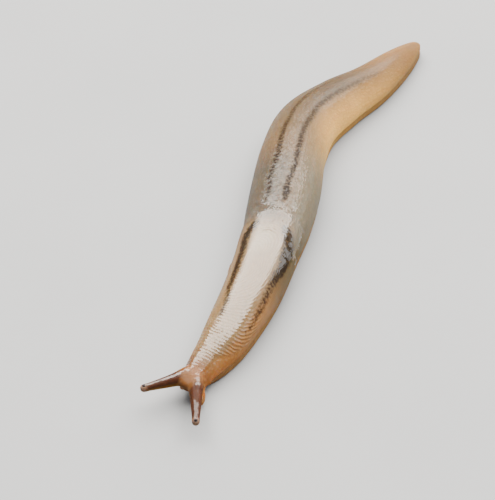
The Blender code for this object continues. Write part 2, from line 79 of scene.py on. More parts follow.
# back, half width, height, crest exponent
STATIONS = np.array((
    (0.0, 1.25, 2.1, 2.2), (1.5, 1.35, 2.6, 2.2), (3.0, 1.50, 2.9, 2.2), (4.5, 1.75, 3.2, 2.2),
    (7.5, 2.20, 3.8, 2.2), (11.0, 2.45, 4.3, 2.2), (16.0, 2.72, 4.7, 2.2), (21.0, 2.92, 5.0, 2.2),
    (26.0, 3.35, 5.3, 2.2), (30.0, 3.50, 5.4, 2.15), (36.0, 3.32, 5.2, 2.1), (41.0, 3.20, 4.8, 2.0),
    (46.0, 2.85, 4.3, 1.9), (50.0, 2.40, 3.9, 1.8), (54.0, 2.00, 3.4, 1.7), (58.0, 1.45, 2.7, 1.65),
    (61.4, 0.85, 1.9, 1.65),
))
FOOT_THICKNESS = 0.75
FLANK_FOOT = 1.05
FLANK_BOTTOM = 0.62
WIDEST_SHARE_OF_HEIGHT = 0.42
FLANK_TUCK = 0.10
SNOUT_ROUNDING = 2.6
TAIL_ROUNDING = 7.0
FOOT_FRONT = 1.95
FOOT_FRONT_ROUNDING = 3.2
FRINGE_STANDS_OUT = 0.12
print("stations:", len(STATIONS), "over", BODY_LENGTH, "mm")


# %% The curved spine
def smooth_through(places, values, at):
    """A smooth curve through values at places, with no overshoot (Fritsch and Carlson)."""
    slopes = np.diff(values) / np.diff(places)
    tangents = np.zeros(len(values))
    same_way = slopes[:-1] * slopes[1:] > 0
    inner = 2 * slopes[:-1] * slopes[1:] / np.where(same_way, slopes[:-1] + slopes[1:], 1)
    tangents[1:-1] = np.where(same_way, inner, 0)
    tangents[0], tangents[-1] = slopes[0], slopes[-1]
    at = np.clip(at, places[0], places[-1])
    i = np.clip(np.searchsorted(places, at, side="right") - 1, 0, len(places) - 2)
    wide = places[i + 1] - places[i]
    t = (at - places[i]) / wide
    rise = (1 + 2 * t) * (1 - t) ** 2 * values[i] + t * t * (3 - 2 * t) * values[i + 1]
    return rise + wide * (t * (1 - t) ** 2 * tangents[i] - t * t * (1 - t) * tangents[i + 1])


def spine_table():
    """Points every small step along a smooth curve through the spine's points."""
    knots = np.array(SPINE_POINTS)
    knots = np.vstack([2 * knots[0] - knots[1], knots, 2 * knots[-1] - knots[-2]])
    t = np.linspace(0, 1, 60, endpoint=False)[:, None]
    runs = [
        0.5 * (2 * b + (c - a) * t + (2 * a - 5 * b + 4 * c - d) * t**2
               + (3 * b - a - 3 * c + d) * t**3)
        for a, b, c, d in zip(knots, knots[1:], knots[2:], knots[3:])
    ]
    line = np.vstack([*runs, knots[-2:-1]])
    back = np.concatenate([[0], np.cumsum(np.linalg.norm(np.diff(line, axis=0), axis=1))])
    return back * (BODY_LENGTH / back[-1]), line


SPINE_BACK, SPINE_LINE = spine_table()
SPINE_HEADING = np.gradient(SPINE_LINE, SPINE_BACK, axis=0)


def spine_at(back):
    """(points on the floor, unit vectors to the tail, unit vectors to the animal's left)."""
    point = np.stack([np.interp(back, SPINE_BACK, SPINE_LINE[:, i]) for i in (0, 1)], -1)
    tailward = np.stack([np.interp(back, SPINE_BACK, SPINE_HEADING[:, i]) for i in (0, 1)], -1)
    tailward /= np.linalg.norm(tailward, axis=-1, keepdims=True)
    left = np.stack([tailward[..., 1], -tailward[..., 0]], -1)
    return point, tailward, left


print("spine points:", len(SPINE_LINE), "from", SPINE_LINE[0], "to", SPINE_LINE[-1])

# %% [markdown]
# ## A map of the skin
#
# Everything on a slug's skin is laid out by two measures: how far back a point is, and how far
# round from the crest of the back. Here both are tabled once for the whole body, so any number of
# points can be looked up at once. `surface` goes from the map to space; `map_of` goes back.

# %% Tables of the body
MAP_BACKS = np.linspace(0.02, TAIL_END, 620)
MAP_SHARES = np.linspace(0, 1, 161)
MAP_ANGLES = np.linspace(0, math.pi, 241)
POINTS_AT_ONCE = 8000


def body_tables():
    """Tables of out, up, half girths, each angle's share and how high the widest place is."""
    half_width, height, exponent = (
        smooth_through(STATIONS[:, 0], STATIONS[:, i], MAP_BACKS) for i in (1, 2, 3)
    )
    snout = np.clip(1 - MAP_BACKS / SNOUT_ROUNDING, 0, 1)
    tail = np.clip(1 - (BODY_LENGTH - MAP_BACKS) / TAIL_ROUNDING, 0, 1)
    rounding = np.sqrt(np.clip(1 - snout**2.4, 0, 1)) * np.sqrt(np.clip(1 - tail**3, 0, 1))
    middle = np.maximum(WIDEST_SHARE_OF_HEIGHT * height, FLANK_FOOT + 0.12)
    top = middle + (height - middle) * rounding
    low = middle + (FLANK_BOTTOM - middle) * rounding
    half_width = half_width * rounding
    turn = np.linspace(0, math.pi / 2, 160)
    drop = np.linspace(0, 1, 60)[1:]
    outs, ups, girths, shares = [], [], [], []
    for i in range(len(MAP_BACKS)):
        power = 2 / exponent[i]
        out = np.concatenate([np.sin(turn) ** power, 1 - FLANK_TUCK * drop**2]) * half_width[i]
        up = np.concatenate([
            middle[i] + (top[i] - middle[i]) * np.cos(turn).clip(0) ** power,
            middle[i] + (low[i] - middle[i]) * drop,
        ])
        walked = np.concatenate([[0], np.cumsum(np.hypot(np.diff(out), np.diff(up)))])
        share = walked / walked[-1]
        outs.append(np.interp(MAP_SHARES, share, out))
        ups.append(np.interp(MAP_SHARES, share, up))
        girths.append(walked[-1])
        shares.append(np.interp(MAP_ANGLES, np.arctan2(out, up - middle[i]), share))
    return np.array(outs), np.array(ups), np.array(girths), np.array(shares), middle


OUTS, UPS, HALF_GIRTHS, ANGLE_SHARES, MIDDLES = body_tables()
print("widest half girth:", round(HALF_GIRTHS.max(), 2), "mm")


# %% From the map to space and back
def look_up(table, rows, columns, row, column):
    """The value of a table between its rows and columns."""
    r = np.interp(row, rows, np.arange(len(rows)))
    c = np.interp(column, columns, np.arange(len(columns)))
    i, j = np.minimum(r.astype(int), len(rows) - 2), np.minimum(c.astype(int), len(columns) - 2)
    u, v = r - i, c - j
    near = table[i, j] * (1 - v) + table[i, j + 1] * v
    return near * (1 - u) + (table[i + 1, j] * (1 - v) + table[i + 1, j + 1] * v) * u


def surface(back, share):
    """Points of the plain skin at each distance back and share of the half girth, + to the left."""
    back, share = np.broadcast_arrays(np.asarray(back, float), np.asarray(share, float))
    point, _, left = spine_at(back)
    out = look_up(OUTS, MAP_BACKS, MAP_SHARES, back, np.abs(share)) * np.sign(share)
    up = look_up(UPS, MAP_BACKS, MAP_SHARES, back, np.abs(share))
    return np.concatenate([point + out[..., None] * left, up[..., None]], -1)


def map_of(points):
    """(back, share of the half girth, half girth) of points on or near the skin."""
    steps = np.arange(0, BODY_LENGTH, 0.1)
    spots, heads, _ = spine_at(steps)
    back = np.empty(len(points))
    for start in range(0, len(points), POINTS_AT_ONCE):
        some = slice(start, start + POINTS_AT_ONCE)
        part = points[some, :2]
        nearest = ((part[:, None] - spots[None]) ** 2).sum(-1).argmin(1)
        back[some] = steps[nearest] + ((part - spots[nearest]) * heads[nearest]).sum(-1)
    back = back.clip(MAP_BACKS[0], TAIL_END)
    spot, _, left = spine_at(back)
    out = ((points[:, :2] - spot) * left).sum(-1)
    angle = np.arctan2(np.abs(out), points[:, 2] - np.interp(back, MAP_BACKS, MIDDLES))
    share = look_up(ANGLE_SHARES, MAP_BACKS, MAP_ANGLES, back, angle)
    return back, share * np.sign(out), np.interp(back, MAP_BACKS, HALF_GIRTHS)


def soft_step(low, high, value):
    """0 up to low, 1 from high on, smooth between; where low is the larger, it falls instead."""
    t = np.clip((value - low) / (high - low), 0, 1)
    return t * t * (3 - 2 * t)


print("halfway back on the left flank:", surface(BODY_LENGTH / 2, 0.5).round(2).tolist())

# %% [markdown]
# ## The feelers
#
# A slug has two long feelers with an eye at the tip of each and two short ones beside the mouth.
# The long ones are thick where they leave the head, thin along the stalk and end in a small bulb.
# Each is a line of points with a radius at each point, which is also how a curve with a bevel would
# do it. Kept as arrays, the same line later tells the skin where on a feeler a point lies. Between
# their roots the skin hangs like the web between two fingers, so three short lines join them.

# %% Sizes of the feelers
# millimetres, then degrees turned outwards and raised, each at the root and at the tip
EYE_FEELERS = {
    "left": {"side": 1, "length": 7.2, "out": 0.05, "turned": (30.5, 27.5), "raised": (5, 2)},
    "right": {"side": -1, "length": 6.0, "out": 0.25, "turned": (22, 30), "raised": (14, 11)},
}
FEELER_ROOT_BACK = 1.8
FEELER_ROOT_HEIGHT = 1.75
FEELER_STEPS = 80
# share along the feeler, radius
FEELER_RADII = np.array((
    (0.00, 0.95), (0.14, 0.88), (0.26, 0.74), (0.38, 0.62), (0.60, 0.50), (0.78, 0.41),
    (0.86, 0.375), (0.92, 0.38), (0.96, 0.34), (0.985, 0.22), (1.00, 0.07),
))
# distance back, share of the half girth, length, (forward, sideways, up), wider at the root by
SMALL_FEELERS = {
    "left": {"back": 1.05, "girth": 0.90, "length": 1.9, "way": (0.9, 0.22, -0.25), "flare": 0.20},
    "right": {"back": 0.55, "girth": -1.0, "length": 0.30, "way": (0.9, -0.5, -0.25), "flare": 0.0},
}
SMALL_FEELER_RADIUS = 0.32
SUNK_INTO_HEAD = 0.3
SHORT_LINE = np.linspace(0, 1, 25)[:, None]
print("eye feelers:", {name: feeler["length"] for name, feeler in EYE_FEELERS.items()}, "mm long")


# %% Lines and radii of the feelers
def unit(vector):
    """The vector at length 1."""
    return np.asarray(vector, float) / np.linalg.norm(vector)


def eye_feeler_line(feeler):
    """The middle line of an eye feeler, from inside the head to its tip, and its radii."""
    point, tailward, left = (np.append(v, 0.0) for v in spine_at(FEELER_ROOT_BACK))
    side, length = feeler["side"], feeler["length"]
    line = [point + side * feeler["out"] * left + (0, 0, FEELER_ROOT_HEIGHT)]
    shares = np.linspace(0, 1, FEELER_STEPS + 1)
    for t in shares[1:]:
        turned, raised = (
            math.radians(np.interp(t, (0, 1), feeler[key])) for key in ("turned", "raised")
        )
        flat = -math.cos(turned) * tailward + side * math.sin(turned) * left
        way = math.cos(raised) * flat + (0, 0, math.sin(raised))
        line.append(line[-1] + way * length / FEELER_STEPS)
    return np.array(line), smooth_through(FEELER_RADII[:, 0], FEELER_RADII[:, 1], shares)


def bent(start, corner, end):
    """A short line that leaves its start towards the corner and ends at its end."""
    t = SHORT_LINE
    return (1 - t) ** 2 * start + 2 * t * (1 - t) * corner + t**2 * end


def small_feeler_line(feeler):
    """A short bent line that leaves the snout square to the skin, and its radii."""
    back, girth = feeler["back"], feeler["girth"]
    place = surface(back, girth)
    along = surface(back + 0.1, girth) - surface(max(back - 0.1, 0.02), girth)
    across = surface(back, min(girth + 0.02, 1)) - surface(back, max(girth - 0.02, -1))
    outward = unit(np.cross(across, along))
    _, tailward, left = (np.append(v, 0.0) for v in spine_at(back))
    forward, sideways, upward = feeler["way"]
    way = unit(-forward * tailward + math.copysign(sideways, girth) * left + (0, 0, upward))
    place = place - SUNK_INTO_HEAD * outward
    elbow = place + (SUNK_INTO_HEAD + 0.25 * feeler["length"]) * outward
    tip = elbow + 0.75 * feeler["length"] * way
    t = SHORT_LINE[:, 0]
    rounded_tip = np.sqrt(1 - 0.94 * t**7)
    radii = (SMALL_FEELER_RADIUS + feeler["flare"] * (1 - t) ** 2) * rounded_tip
    return bent(place, elbow, tip), radii


feeler_lines = {name: eye_feeler_line(feeler) for name, feeler in EYE_FEELERS.items()}
small_lines = {name: small_feeler_line(feeler) for name, feeler in SMALL_FEELERS.items()}
for name, (line, _) in feeler_lines.items():
    print("eye feeler", name, "ends at", line[-1].round(2).tolist())

# %% The web between their roots
# share along both eye feelers, middle of the web, radius
WEBS = (
    (0.32, (-9.85, -25.02, 2.00), 0.42),
    (0.24, (-9.80, -24.65, 2.02), 0.56),
    (0.15, (-9.65, -24.15, 2.00), 0.74),
)


def web_line(share, middle, radius):
    """A sagging line of skin from one eye feeler to the other, and its radii."""
    start, end = (line[round(share * FEELER_STEPS)] for line, _ in feeler_lines.values())
    corner = 2 * np.array(middle) - 0.5 * (start + end)
    return bent(start, corner, end), np.full(len(SHORT_LINE), radius)


web_lines = [web_line(*web) for web in WEBS]
print("lines of the web:", len(web_lines))

# %% [markdown]
# ## Plain closed shapes to fuse
#
# A voxel remesh needs closed shapes that overlap. Rings of points, joined one to the next and
# capped, are the quickest way to such shapes, so one small loft makes the body, the foot and the
# feelers alike.


# %% Loft and tube
def loft(rings):
    """Points and faces of a closed skin over rings of equal length."""
    count = len(rings[0])
    points = np.vstack(rings)
    around = np.arange(count)
    faces = []
    for i in range(len(rings) - 1):
        a, b = i * count + around, (i + 1) * count + around
        faces += np.stack([a, b, np.roll(b, -1), np.roll(a, -1)], -1).tolist()
    faces.append(around.tolist())
    faces.append((len(points) - 1 - around).tolist())
    return points, faces


def tube(line, radii, sides=40):
    """A closed tube along a line, with level rings of the given radii."""
    rings = []
    ways = np.gradient(line, axis=0)
    turn = np.linspace(0, 2 * math.pi, sides, endpoint=False)
    for place, way, radius in zip(line, ways, radii):
        across = unit(np.cross(way, (0, 0, 1)))
        upward = unit(np.cross(across, way))
        ring = np.cos(turn)[:, None] * across + np.sin(turn)[:, None] * upward
        rings.append(place + radius * ring)
    return loft(rings)


print("a feeler as a tube:", len(tube(*feeler_lines["left"])[0]), "points")


# %% The foot and the mouth
def foot_ring(back):
    """The foot's cross-section: a flat sole whose thin fringe stands out on both sides."""
    point, _, left = (np.append(v, 0.0) for v in spine_at(back))
    flank = smooth_through(STATIONS[:, 0], STATIONS[:, 1], back)
    wide = flank * (1 - FLANK_TUCK) + FRINGE_STANDS_OUT
    front = np.clip(1 - (back - FOOT_FRONT) / FOOT_FRONT_ROUNDING, 0, 1)
    rear = np.clip(1 - (BODY_LENGTH - back) / TAIL_ROUNDING, 0, 1)
    wide = wide * math.sqrt(max(0.02, 1 - front**2.2)) * math.sqrt(max(0.02, 1 - rear**3))
    rise = FOOT_THICKNESS * (1 - 0.5 * soft_step(59.6, BODY_LENGTH, back))
    half = ((0.93, 0), (0.985, 0.22 * rise), (1, 0.5 * rise), (0.975, 0.82 * rise), (0.93, rise))
    outline = [(out * wide, up) for out, up in half] + [(-out * wide, up) for out, up in half[::-1]]
    return np.array([point + out * left + (0, 0, up) for out, up in outline])[::-1]


LOBE_BACK = 1.3
LOBE_OUT = 0.32
LOBE_HEIGHT = 0.58
LOBE_SIZE = (0.32, 0.42, 0.36)
LOBE_POLE = 0.06


def mouth_lobe(side, rings=14, sides=28):
    """One soft lobe of the mouth, under the snout."""
    point, tailward, left = (np.append(v, 0.0) for v in spine_at(LOBE_BACK))
    centre = point + side * LOBE_OUT * left + (0, 0, LOBE_HEIGHT)
    turn = np.linspace(0, 2 * math.pi, sides, endpoint=False)[:, None]
    flat = np.cos(turn) * LOBE_SIZE[0] * tailward + np.sin(turn) * LOBE_SIZE[1] * left
    return loft([
        centre + math.sin(lift) * flat + (0, 0, math.cos(lift) * LOBE_SIZE[2])
        for lift in np.linspace(LOBE_POLE, math.pi - LOBE_POLE, rings)
    ])


# %% All the closed shapes
shares_round = np.linspace(-1, 1, 121)
snout_rings = 1 - np.cos(np.linspace(0, math.pi / 2, 30))[:-1]
body_backs = np.concatenate([
    0.02 + SNOUT_ROUNDING * snout_rings,
    np.arange(SNOUT_ROUNDING + 0.02, TAIL_END, 0.15),
])
shapes = {
    "body": loft([surface(back, shares_round) for back in body_backs]),
    "foot": loft([foot_ring(back) for back in np.linspace(FOOT_FRONT, BODY_LENGTH, 260)]),
    "mouth_left": mouth_lobe(1),
    "mouth_right": mouth_lobe(-1),
}
for name, line in [*feeler_lines.items(), *small_lines.items()]:
    shapes[f"feeler_{len(shapes)}_{name}"] = tube(*line)
for i, line in enumerate(web_lines):
    shapes[f"web_{i}"] = tube(*line)
print("shapes to fuse:", {name: len(points) for name, (points, _) in shapes.items()})

# %% [markdown]
# ## One skin
#
# Boolean unions would leave a sharp crease where each feeler meets the head. A voxel remesh instead
# samples the whole at once and lays even quads over it, so a short smoothing can melt the creases.
# Its price is evenness: the front, whose ridges are a third of a millimetre apart, needs finer
# faces than the flanks. So those of head, feelers and the front of the mantle are divided again.

# %% Fuse the shapes
VOXEL = 0.145
REFINED_TO = 15.0
REFINED_SHARE = 0.75


def fused(shapes, voxel):
    """One mesh round all the shapes."""
    points, faces = [], []
    for shape_points, shape_faces in shapes.values():
        first = sum(len(p) for p in points)
        points.append(shape_points)
        faces += [[first + i for i in face] for face in shape_faces]
    mesh = bpy.data.meshes.new("skin")
    mesh.from_pydata(np.vstack(points).tolist(), [], faces)
    tidy = bmesh.new()
    tidy.from_mesh(mesh)
    bmesh.ops.recalc_face_normals(tidy, faces=tidy.faces)
    tidy.to_mesh(mesh)
    tidy.free()
    skin = put_in_scene("slug_skin", mesh)
    remesh = skin.modifiers.new("fuse", "REMESH")
    remesh.mode = "VOXEL"
    remesh.voxel_size = voxel
    graph = bpy.context.evaluated_depsgraph_get()
    fused_mesh = bpy.data.meshes.new_from_object(skin.evaluated_get(graph))
    skin.modifiers.clear()
    skin.data = fused_mesh
    return skin


def points_of(mesh):
    """All vertices as an array."""
    flat = np.empty(len(mesh.vertices) * 3)
    mesh.vertices.foreach_get("co", flat)
    return flat.reshape(-1, 3)


skin = fused(shapes, VOXEL)
print("fused skin:", len(skin.data.vertices), "points")


# %% Finer faces on the head, the feelers and the front of the mantle
def refine(mesh, wanted):
    """Divides each face whose points are all wanted."""
    work = bmesh.new()
    work.from_mesh(mesh)
    work.verts.ensure_lookup_table()
    edges = [e for e in work.edges if wanted[e.verts[0].index] and wanted[e.verts[1].index]]
    bmesh.ops.subdivide_edges(work, edges=edges, cuts=1, use_grid_fill=True)
    work.to_mesh(mesh)
    work.free()


points = points_of(skin.data)
back, share, _ = map_of(points)
above_foot = points[:, 2] >= FOOT_THICKNESS
refine(skin.data, (back < REFINED_TO) & (np.abs(share) < REFINED_SHARE) & above_foot)
print("after refining:", len(skin.data.vertices), "points")

# %% [markdown]
# ## Smooth and exact
#
# Remeshed points sit a hair off the true surface, and on a wet skin each such hair would show as a
# ripple in the highlight. So the whole is smoothed a little, the creases round the feelers more,
# and then every point away from a crease is set back on the exact surface of the body or feeler.


# %% The nearest place on a line, and smoothing
def near_line(points, line, radii):
    """(share along the line, distance beyond its radius, unit vector away from it) of points."""
    share = np.empty(len(points))
    for start in range(0, len(points), POINTS_AT_ONCE):
        some = slice(start, start + POINTS_AT_ONCE)
        share[some] = ((points[some, None] - line[None]) ** 2).sum(-1).argmin(1)
    share = share.clip(1, len(line) - 2).astype(int)
    ways = np.gradient(line, axis=0)
    ways /= np.linalg.norm(ways, axis=1, keepdims=True)
    offset = points - line[share]
    forward = (offset * ways[share]).sum(-1)
    step = np.linalg.norm(line[1] - line[0])
    exact = (share + forward / step).clip(0, len(line) - 1)
    base = np.stack([np.interp(exact, np.arange(len(line)), line[:, i]) for i in range(3)], -1)
    away = points - base
    distance = np.linalg.norm(away, axis=1)
    radius = np.interp(exact, np.arange(len(line)), radii)
    return exact / (len(line) - 1), distance - radius, away / np.maximum(distance, 1e-6)[:, None]


def smoothed(points, edges, amount, rounds):
    """Each point moves towards the middle of its neighbours, by its own amount."""
    a, b = edges[:, 0], edges[:, 1]
    count = np.bincount(np.concatenate([a, b]), minlength=len(points))
    for _ in range(rounds):
        middle = np.stack([
            np.bincount(a, points[b, i], len(points)) + np.bincount(b, points[a, i], len(points))
            for i in range(3)
        ], -1) / count[:, None]
        points = points + (middle - points) * amount[:, None]
    return points


# %% Smooth, the creases most
EVEN_OUT = 0.35
EVEN_OUT_CREASE = 0.2
EVEN_OUT_ROUNDS = 6
MELT_CREASE = 0.55
MELT_ROUNDS = 22
FURTHEST_CORRECTION = 0.3
SOLE_BELOW = 0.05
# millimetres at which each soft step is 0, and at which it is 1
NEAR_FEELER, CLEAR_OF_FEELER = (0.8, 0.1), (0.15, 0.6)
NEAR_BODY, CLEAR_OF_BODY = (0.9, 0.2), (0.2, 0.7)
NEAR_WEB, CLEAR_OF_WEB = (0.30, 0.05), (0.05, 0.35)
TAIL_MELTS, TAIL_EXACT = (59.8, 60.9), (60.5, 59.8)
ABOVE_FOOT = (FLANK_FOOT - 0.1, FLANK_FOOT + 0.25)

mesh = skin.data
points = points_of(mesh)
edges = np.empty(len(mesh.edges) * 2, dtype=int)
mesh.edges.foreach_get("vertices", edges)
edges = edges.reshape(-1, 2)

at_eye_feelers = {name: near_line(points, *line) for name, line in feeler_lines.items()}
beyond_web = np.min([near_line(points, *line)[1] for line in web_lines], axis=0)
at_small_feelers = [near_line(points, *line) for line in small_lines.values()]
beyond_feelers = np.min([near[1] for near in (*at_eye_feelers.values(), *at_small_feelers)], axis=0)
beyond_feelers = np.minimum(beyond_feelers, beyond_web)
back, share, _ = map_of(points)
true_skin = surface(back, share)
off_body = np.linalg.norm(points - true_skin, axis=1)
in_crease = soft_step(*NEAR_FEELER, beyond_feelers) * soft_step(*NEAR_BODY, off_body)
in_crease = np.maximum(in_crease, soft_step(*NEAR_WEB, beyond_web))
in_crease = np.maximum(in_crease, soft_step(*TAIL_MELTS, back))
points = smoothed(points, edges, EVEN_OUT + EVEN_OUT_CREASE * in_crease, EVEN_OUT_ROUNDS)
points = smoothed(points, edges, MELT_CREASE * in_crease, MELT_ROUNDS)
print("points in creases:", int((in_crease > 0.3).sum()))

# %% Set each point on its true surface
back, share, _ = map_of(points)
correction = surface(back, share) - points
clear = soft_step(*CLEAR_OF_FEELER, beyond_feelers)
clear *= soft_step(*ABOVE_FOOT, points[:, 2])
# the map ends under the flanks and at the snout's tip
clear *= (np.abs(share) < 0.995) & (back > 0.1)
clear *= soft_step(*TAIL_EXACT, back)
clear *= np.linalg.norm(correction, axis=1) < FURTHEST_CORRECTION
points = points + correction * clear[:, None]
for line in feeler_lines.values():
    along, beyond, away = near_line(points, *line)
    on_it = soft_step(*CLEAR_OF_BODY, off_body) * (np.abs(beyond) < 0.2) * (along > 0.16)
    on_it *= soft_step(1.0, 0.985, along) * soft_step(*CLEAR_OF_WEB, beyond_web)
    points = points - away * (beyond * on_it)[:, None]
points[:, 2] = np.where(points[:, 2] < SOLE_BELOW, 0.0, points[:, 2])
mesh.vertices.foreach_set("co", points.ravel())
mesh.update()
print("lowest point:", points[:, 2].min(), "highest:", points[:, 2].max().round(2))

# %% [markdown]
# ## The mantle
#
# The mantle is a shield of thicker skin over the front third of the back, with a free edge all
# round. On its right side is the breathing hole, a round pit with a pale lip. Both are a matter of
# how far the skin stands out, so they are functions of the map: a height that swells towards the
# mantle's edge, drops off over it and digs a fine furrow behind it, and a lip round a pit.

# %% How far the skin stands out
MANTLE_FRONT = 3.9
MANTLE_REAR = 23.4
MANTLE_MIDDLE = (MANTLE_FRONT + MANTLE_REAR) / 2
MANTLE_HALF_LENGTH = (MANTLE_REAR - MANTLE_FRONT) / 2
MANTLE_HALF_GIRTH = 0.86
MANTLE_EXPONENT = 2.5
MANTLE_LIFT = 0.15
MANTLE_LIP = 0.07
# millimetres in from the mantle's edge where each kind of edge begins, and where it is whole
SHARP_EDGE, SOFT_EDGE, FLUSH_EDGE = (-0.17, 0.06), (-1.1, 0.5), (-0.3, 2.2)
LIP_WIDTH = 0.4
# distances back between which the edge grows sharp, and between which it grows soft again
GROWS_SHARP, GROWS_SOFT = (9.0, 17.0), (19.5, 21.5)
HOLE_BACK = 16.6
HOLE_GIRTH = -0.68
# height or depth, middle, width: in from the mantle's edge, out from the hole, up from the floor
FURROW = (0.05, -0.26, 0.14)
HOLE_LIP = (0.11, 0.42, 0.15)
HOLE_PIT = (0.42, 0.0, 0.24)
FOOT_FURROW = (0.06, 0.86, 0.11)
SKIN_SMOOTHING = 0.25


def into_mantle(back, share, half):
    """Distance in from the mantle's edge; negative outside it."""
    a = np.abs(back - MANTLE_MIDDLE) / MANTLE_HALF_LENGTH
    b = np.abs(share) / MANTLE_HALF_GIRTH
    level = np.maximum((a**MANTLE_EXPONENT + b**MANTLE_EXPONENT) ** (1 / MANTLE_EXPONENT), 1e-6)
    slope = level ** (1 - MANTLE_EXPONENT)
    along = slope * a ** (MANTLE_EXPONENT - 1) / MANTLE_HALF_LENGTH
    round_it = slope * b ** (MANTLE_EXPONENT - 1) / (MANTLE_HALF_GIRTH * half)
    return (1 - level) / np.maximum(np.hypot(along, round_it), 1e-3)


def swell(size, middle, width, at):
    """A smooth swelling of that size round a middle."""
    return size * np.exp(-(((at - middle) / width) ** 2))


def mantle_height(depth, back):
    """How far the mantle stands out, at each distance in from its edge. Its front lies flush."""
    inside = MANTLE_LIFT + MANTLE_LIP * np.exp(-np.clip(depth, 0, None) / LIP_WIDTH)
    furrow = -swell(*FURROW, depth) * (depth < 0.1)
    sharp = inside * soft_step(*SHARP_EDGE, depth) + furrow
    soft = (MANTLE_LIFT + 0.3 * MANTLE_LIP) * soft_step(*SOFT_EDGE, depth)
    sharp += (soft - sharp) * soft_step(*GROWS_SOFT, back)
    flush = MANTLE_LIFT * soft_step(*FLUSH_EDGE, depth) + 0.4 * furrow
    return flush + (sharp - flush) * soft_step(*GROWS_SHARP, back)


def hole_height(from_hole):
    """The breathing hole: a pit in a low round lip."""
    return swell(*HOLE_LIP, from_hole) - swell(*HOLE_PIT, from_hole)


def foot_height(points, back, share):
    """The furrow between the flank and the foot's fringe."""
    beside = (np.abs(share) > 0.75) & (points[:, 2] > 0.3) & (back > 2.5)
    return -swell(*FOOT_FURROW, points[:, 2]) * beside


print("mantle:", MANTLE_REAR - MANTLE_FRONT, "mm long")

# %% Raise and dig the skin
normals = np.empty(len(mesh.vertices) * 3)
mesh.vertices.foreach_get("normal", normals)
normals = normals.reshape(-1, 3)
back, share, half = map_of(points)
depth = into_mantle(back, share, half)
from_hole = np.hypot(back - HOLE_BACK, (share - HOLE_GIRTH) * half)
body_only = soft_step(0.1, 0.6, beyond_feelers)
stands_out = mantle_height(depth, back) * soft_step(1.0, 1.4, points[:, 2]) * body_only
stands_out += hole_height(from_hole) + foot_height(points, back, share)
points = points + normals * stands_out[:, None]
points = smoothed(points, edges, np.full(len(points), SKIN_SMOOTHING), 1)
points[:, 2] = np.where(points[:, 2] < SOLE_BELOW, 0.0, points[:, 2])
mesh.vertices.foreach_set("co", (points * MM).ravel())
mesh.update()
print("skin stands out from", stands_out.min().round(2), "to", stands_out.max().round(2), "mm")

# %% [markdown]
# ## What the skin knows of itself
#
# A pattern that follows the body can't be drawn from plain space coordinates. So each point of the
# mesh carries a few numbers, as attributes that the material reads: its place on the map, how deep
# it lies in the mantle, how far it is from the middle of the mantle's rings, and how much of a dark
# band lies there. The bands are lines on the map with a width at each point.

# %% Lines of the rings and bands
# distance back, millimetres that the rings' centre lies left of the crest
RING_CENTRES = (
    (3.0, 0.2), (7.0, 0.2), (12.5, -1.3), (16.3, -1.7), (18.6, -0.7), (20.5, 0.3), (24.0, 0.3),
)
RING_CENTRE_BACK = 16.3
RING_STRETCH = 1.7
BAND_END = 0.3
# back, millimetres round from the crest, half width, strength
BANDS = {
    "mantle_right": (
        (7.0, -0.6, 0.14, 0.1), (8.6, -0.78, 0.18, 0.55), (10.8, -1.04, 0.21, 0.7),
        (12.2, -1.48, 0.24, 0.8), (14.4, -1.66, 0.28, 0.85), (17.0, -1.86, 0.30, 0.9),
        (20.0, -2.1, 0.40, 0.95), (20.8, -1.75, 0.38, 0.95), (21.5, -1.45, 0.30, 0.8),
        (22.0, -1.2, 0.18, 0.1),
    ),
    "mantle_left": (
        (6.8, 2.2, 0.16, 0.1), (8.4, 2.34, 0.22, 0.5), (9.8, 2.38, 0.25, 0.6),
        (11.2, 2.4, 0.28, 0.7), (12.2, 2.3, 0.30, 0.7), (13.6, 2.26, 0.30, 0.7),
        (15.4, 2.36, 0.34, 0.9), (16.6, 2.59, 0.40, 1.05), (19.0, 2.57, 0.48, 1.2),
        (20.4, 2.17, 0.44, 1.2), (21.3, 1.72, 0.36, 1.0), (21.9, 1.3, 0.20, 0.1),
    ),
    "back_right": (
        (23.8, -1.0, 0.12, 0.1), (25.0, -1.11, 0.18, 0.6), (27.0, -1.16, 0.20, 0.7),
        (28.6, -1.4, 0.21, 0.7), (30.4, -1.31, 0.22, 0.75), (32.6, -1.05, 0.24, 0.75),
        (36.0, -1.12, 0.25, 0.7), (39.4, -0.95, 0.25, 0.6), (41.6, -0.93, 0.24, 0.55),
        (43.4, -1.05, 0.22, 0.5), (47.0, -1.0, 0.12, 0.35), (54.0, -0.8, 0.1, 0.1),
    ),
    "back_left": (
        (23.8, 0.6, 0.12, 0.1), (25.2, 0.63, 0.18, 0.7), (26.4, 0.62, 0.28, 1.0),
        (28.0, 0.55, 0.22, 0.8), (30.2, 0.79, 0.22, 0.8), (33.0, 0.88, 0.25, 0.8),
        (37.0, 0.9, 0.27, 0.72), (39.4, 1.12, 0.28, 0.7), (42.0, 1.03, 0.28, 0.65),
        (45.0, 0.95, 0.27, 0.6), (47.4, 1.02, 0.26, 0.55), (49.6, 0.9, 0.24, 0.48),
        (51.2, 1.04, 0.15, 0.5), (53.0, 1.12, 0.12, 0.3), (56.0, 1.0, 0.1, 0.1),
    ),
}
print("bands:", list(BANDS))


# %% Numbers for the pattern
def band_at(back, around, band):
    """1 in the middle of a band, falling to 0 at a little over twice its half width."""
    table = np.array(band)
    centre, wide, strength = (smooth_through(table[:, 0], table[:, i], back) for i in (1, 2, 3))
    slope = (smooth_through(table[:, 0], table[:, 1], back + 0.3) - centre) / 0.3
    across = np.abs(around - centre) / np.sqrt(1 + slope**2)
    within = soft_step(table[0, 0] - BAND_END, table[0, 0] + 0.2, back)
    within *= soft_step(table[-1, 0] + BAND_END, table[-1, 0] - 0.2, back)
    return strength * within * soft_step(2.6, 0.2, across / wide)


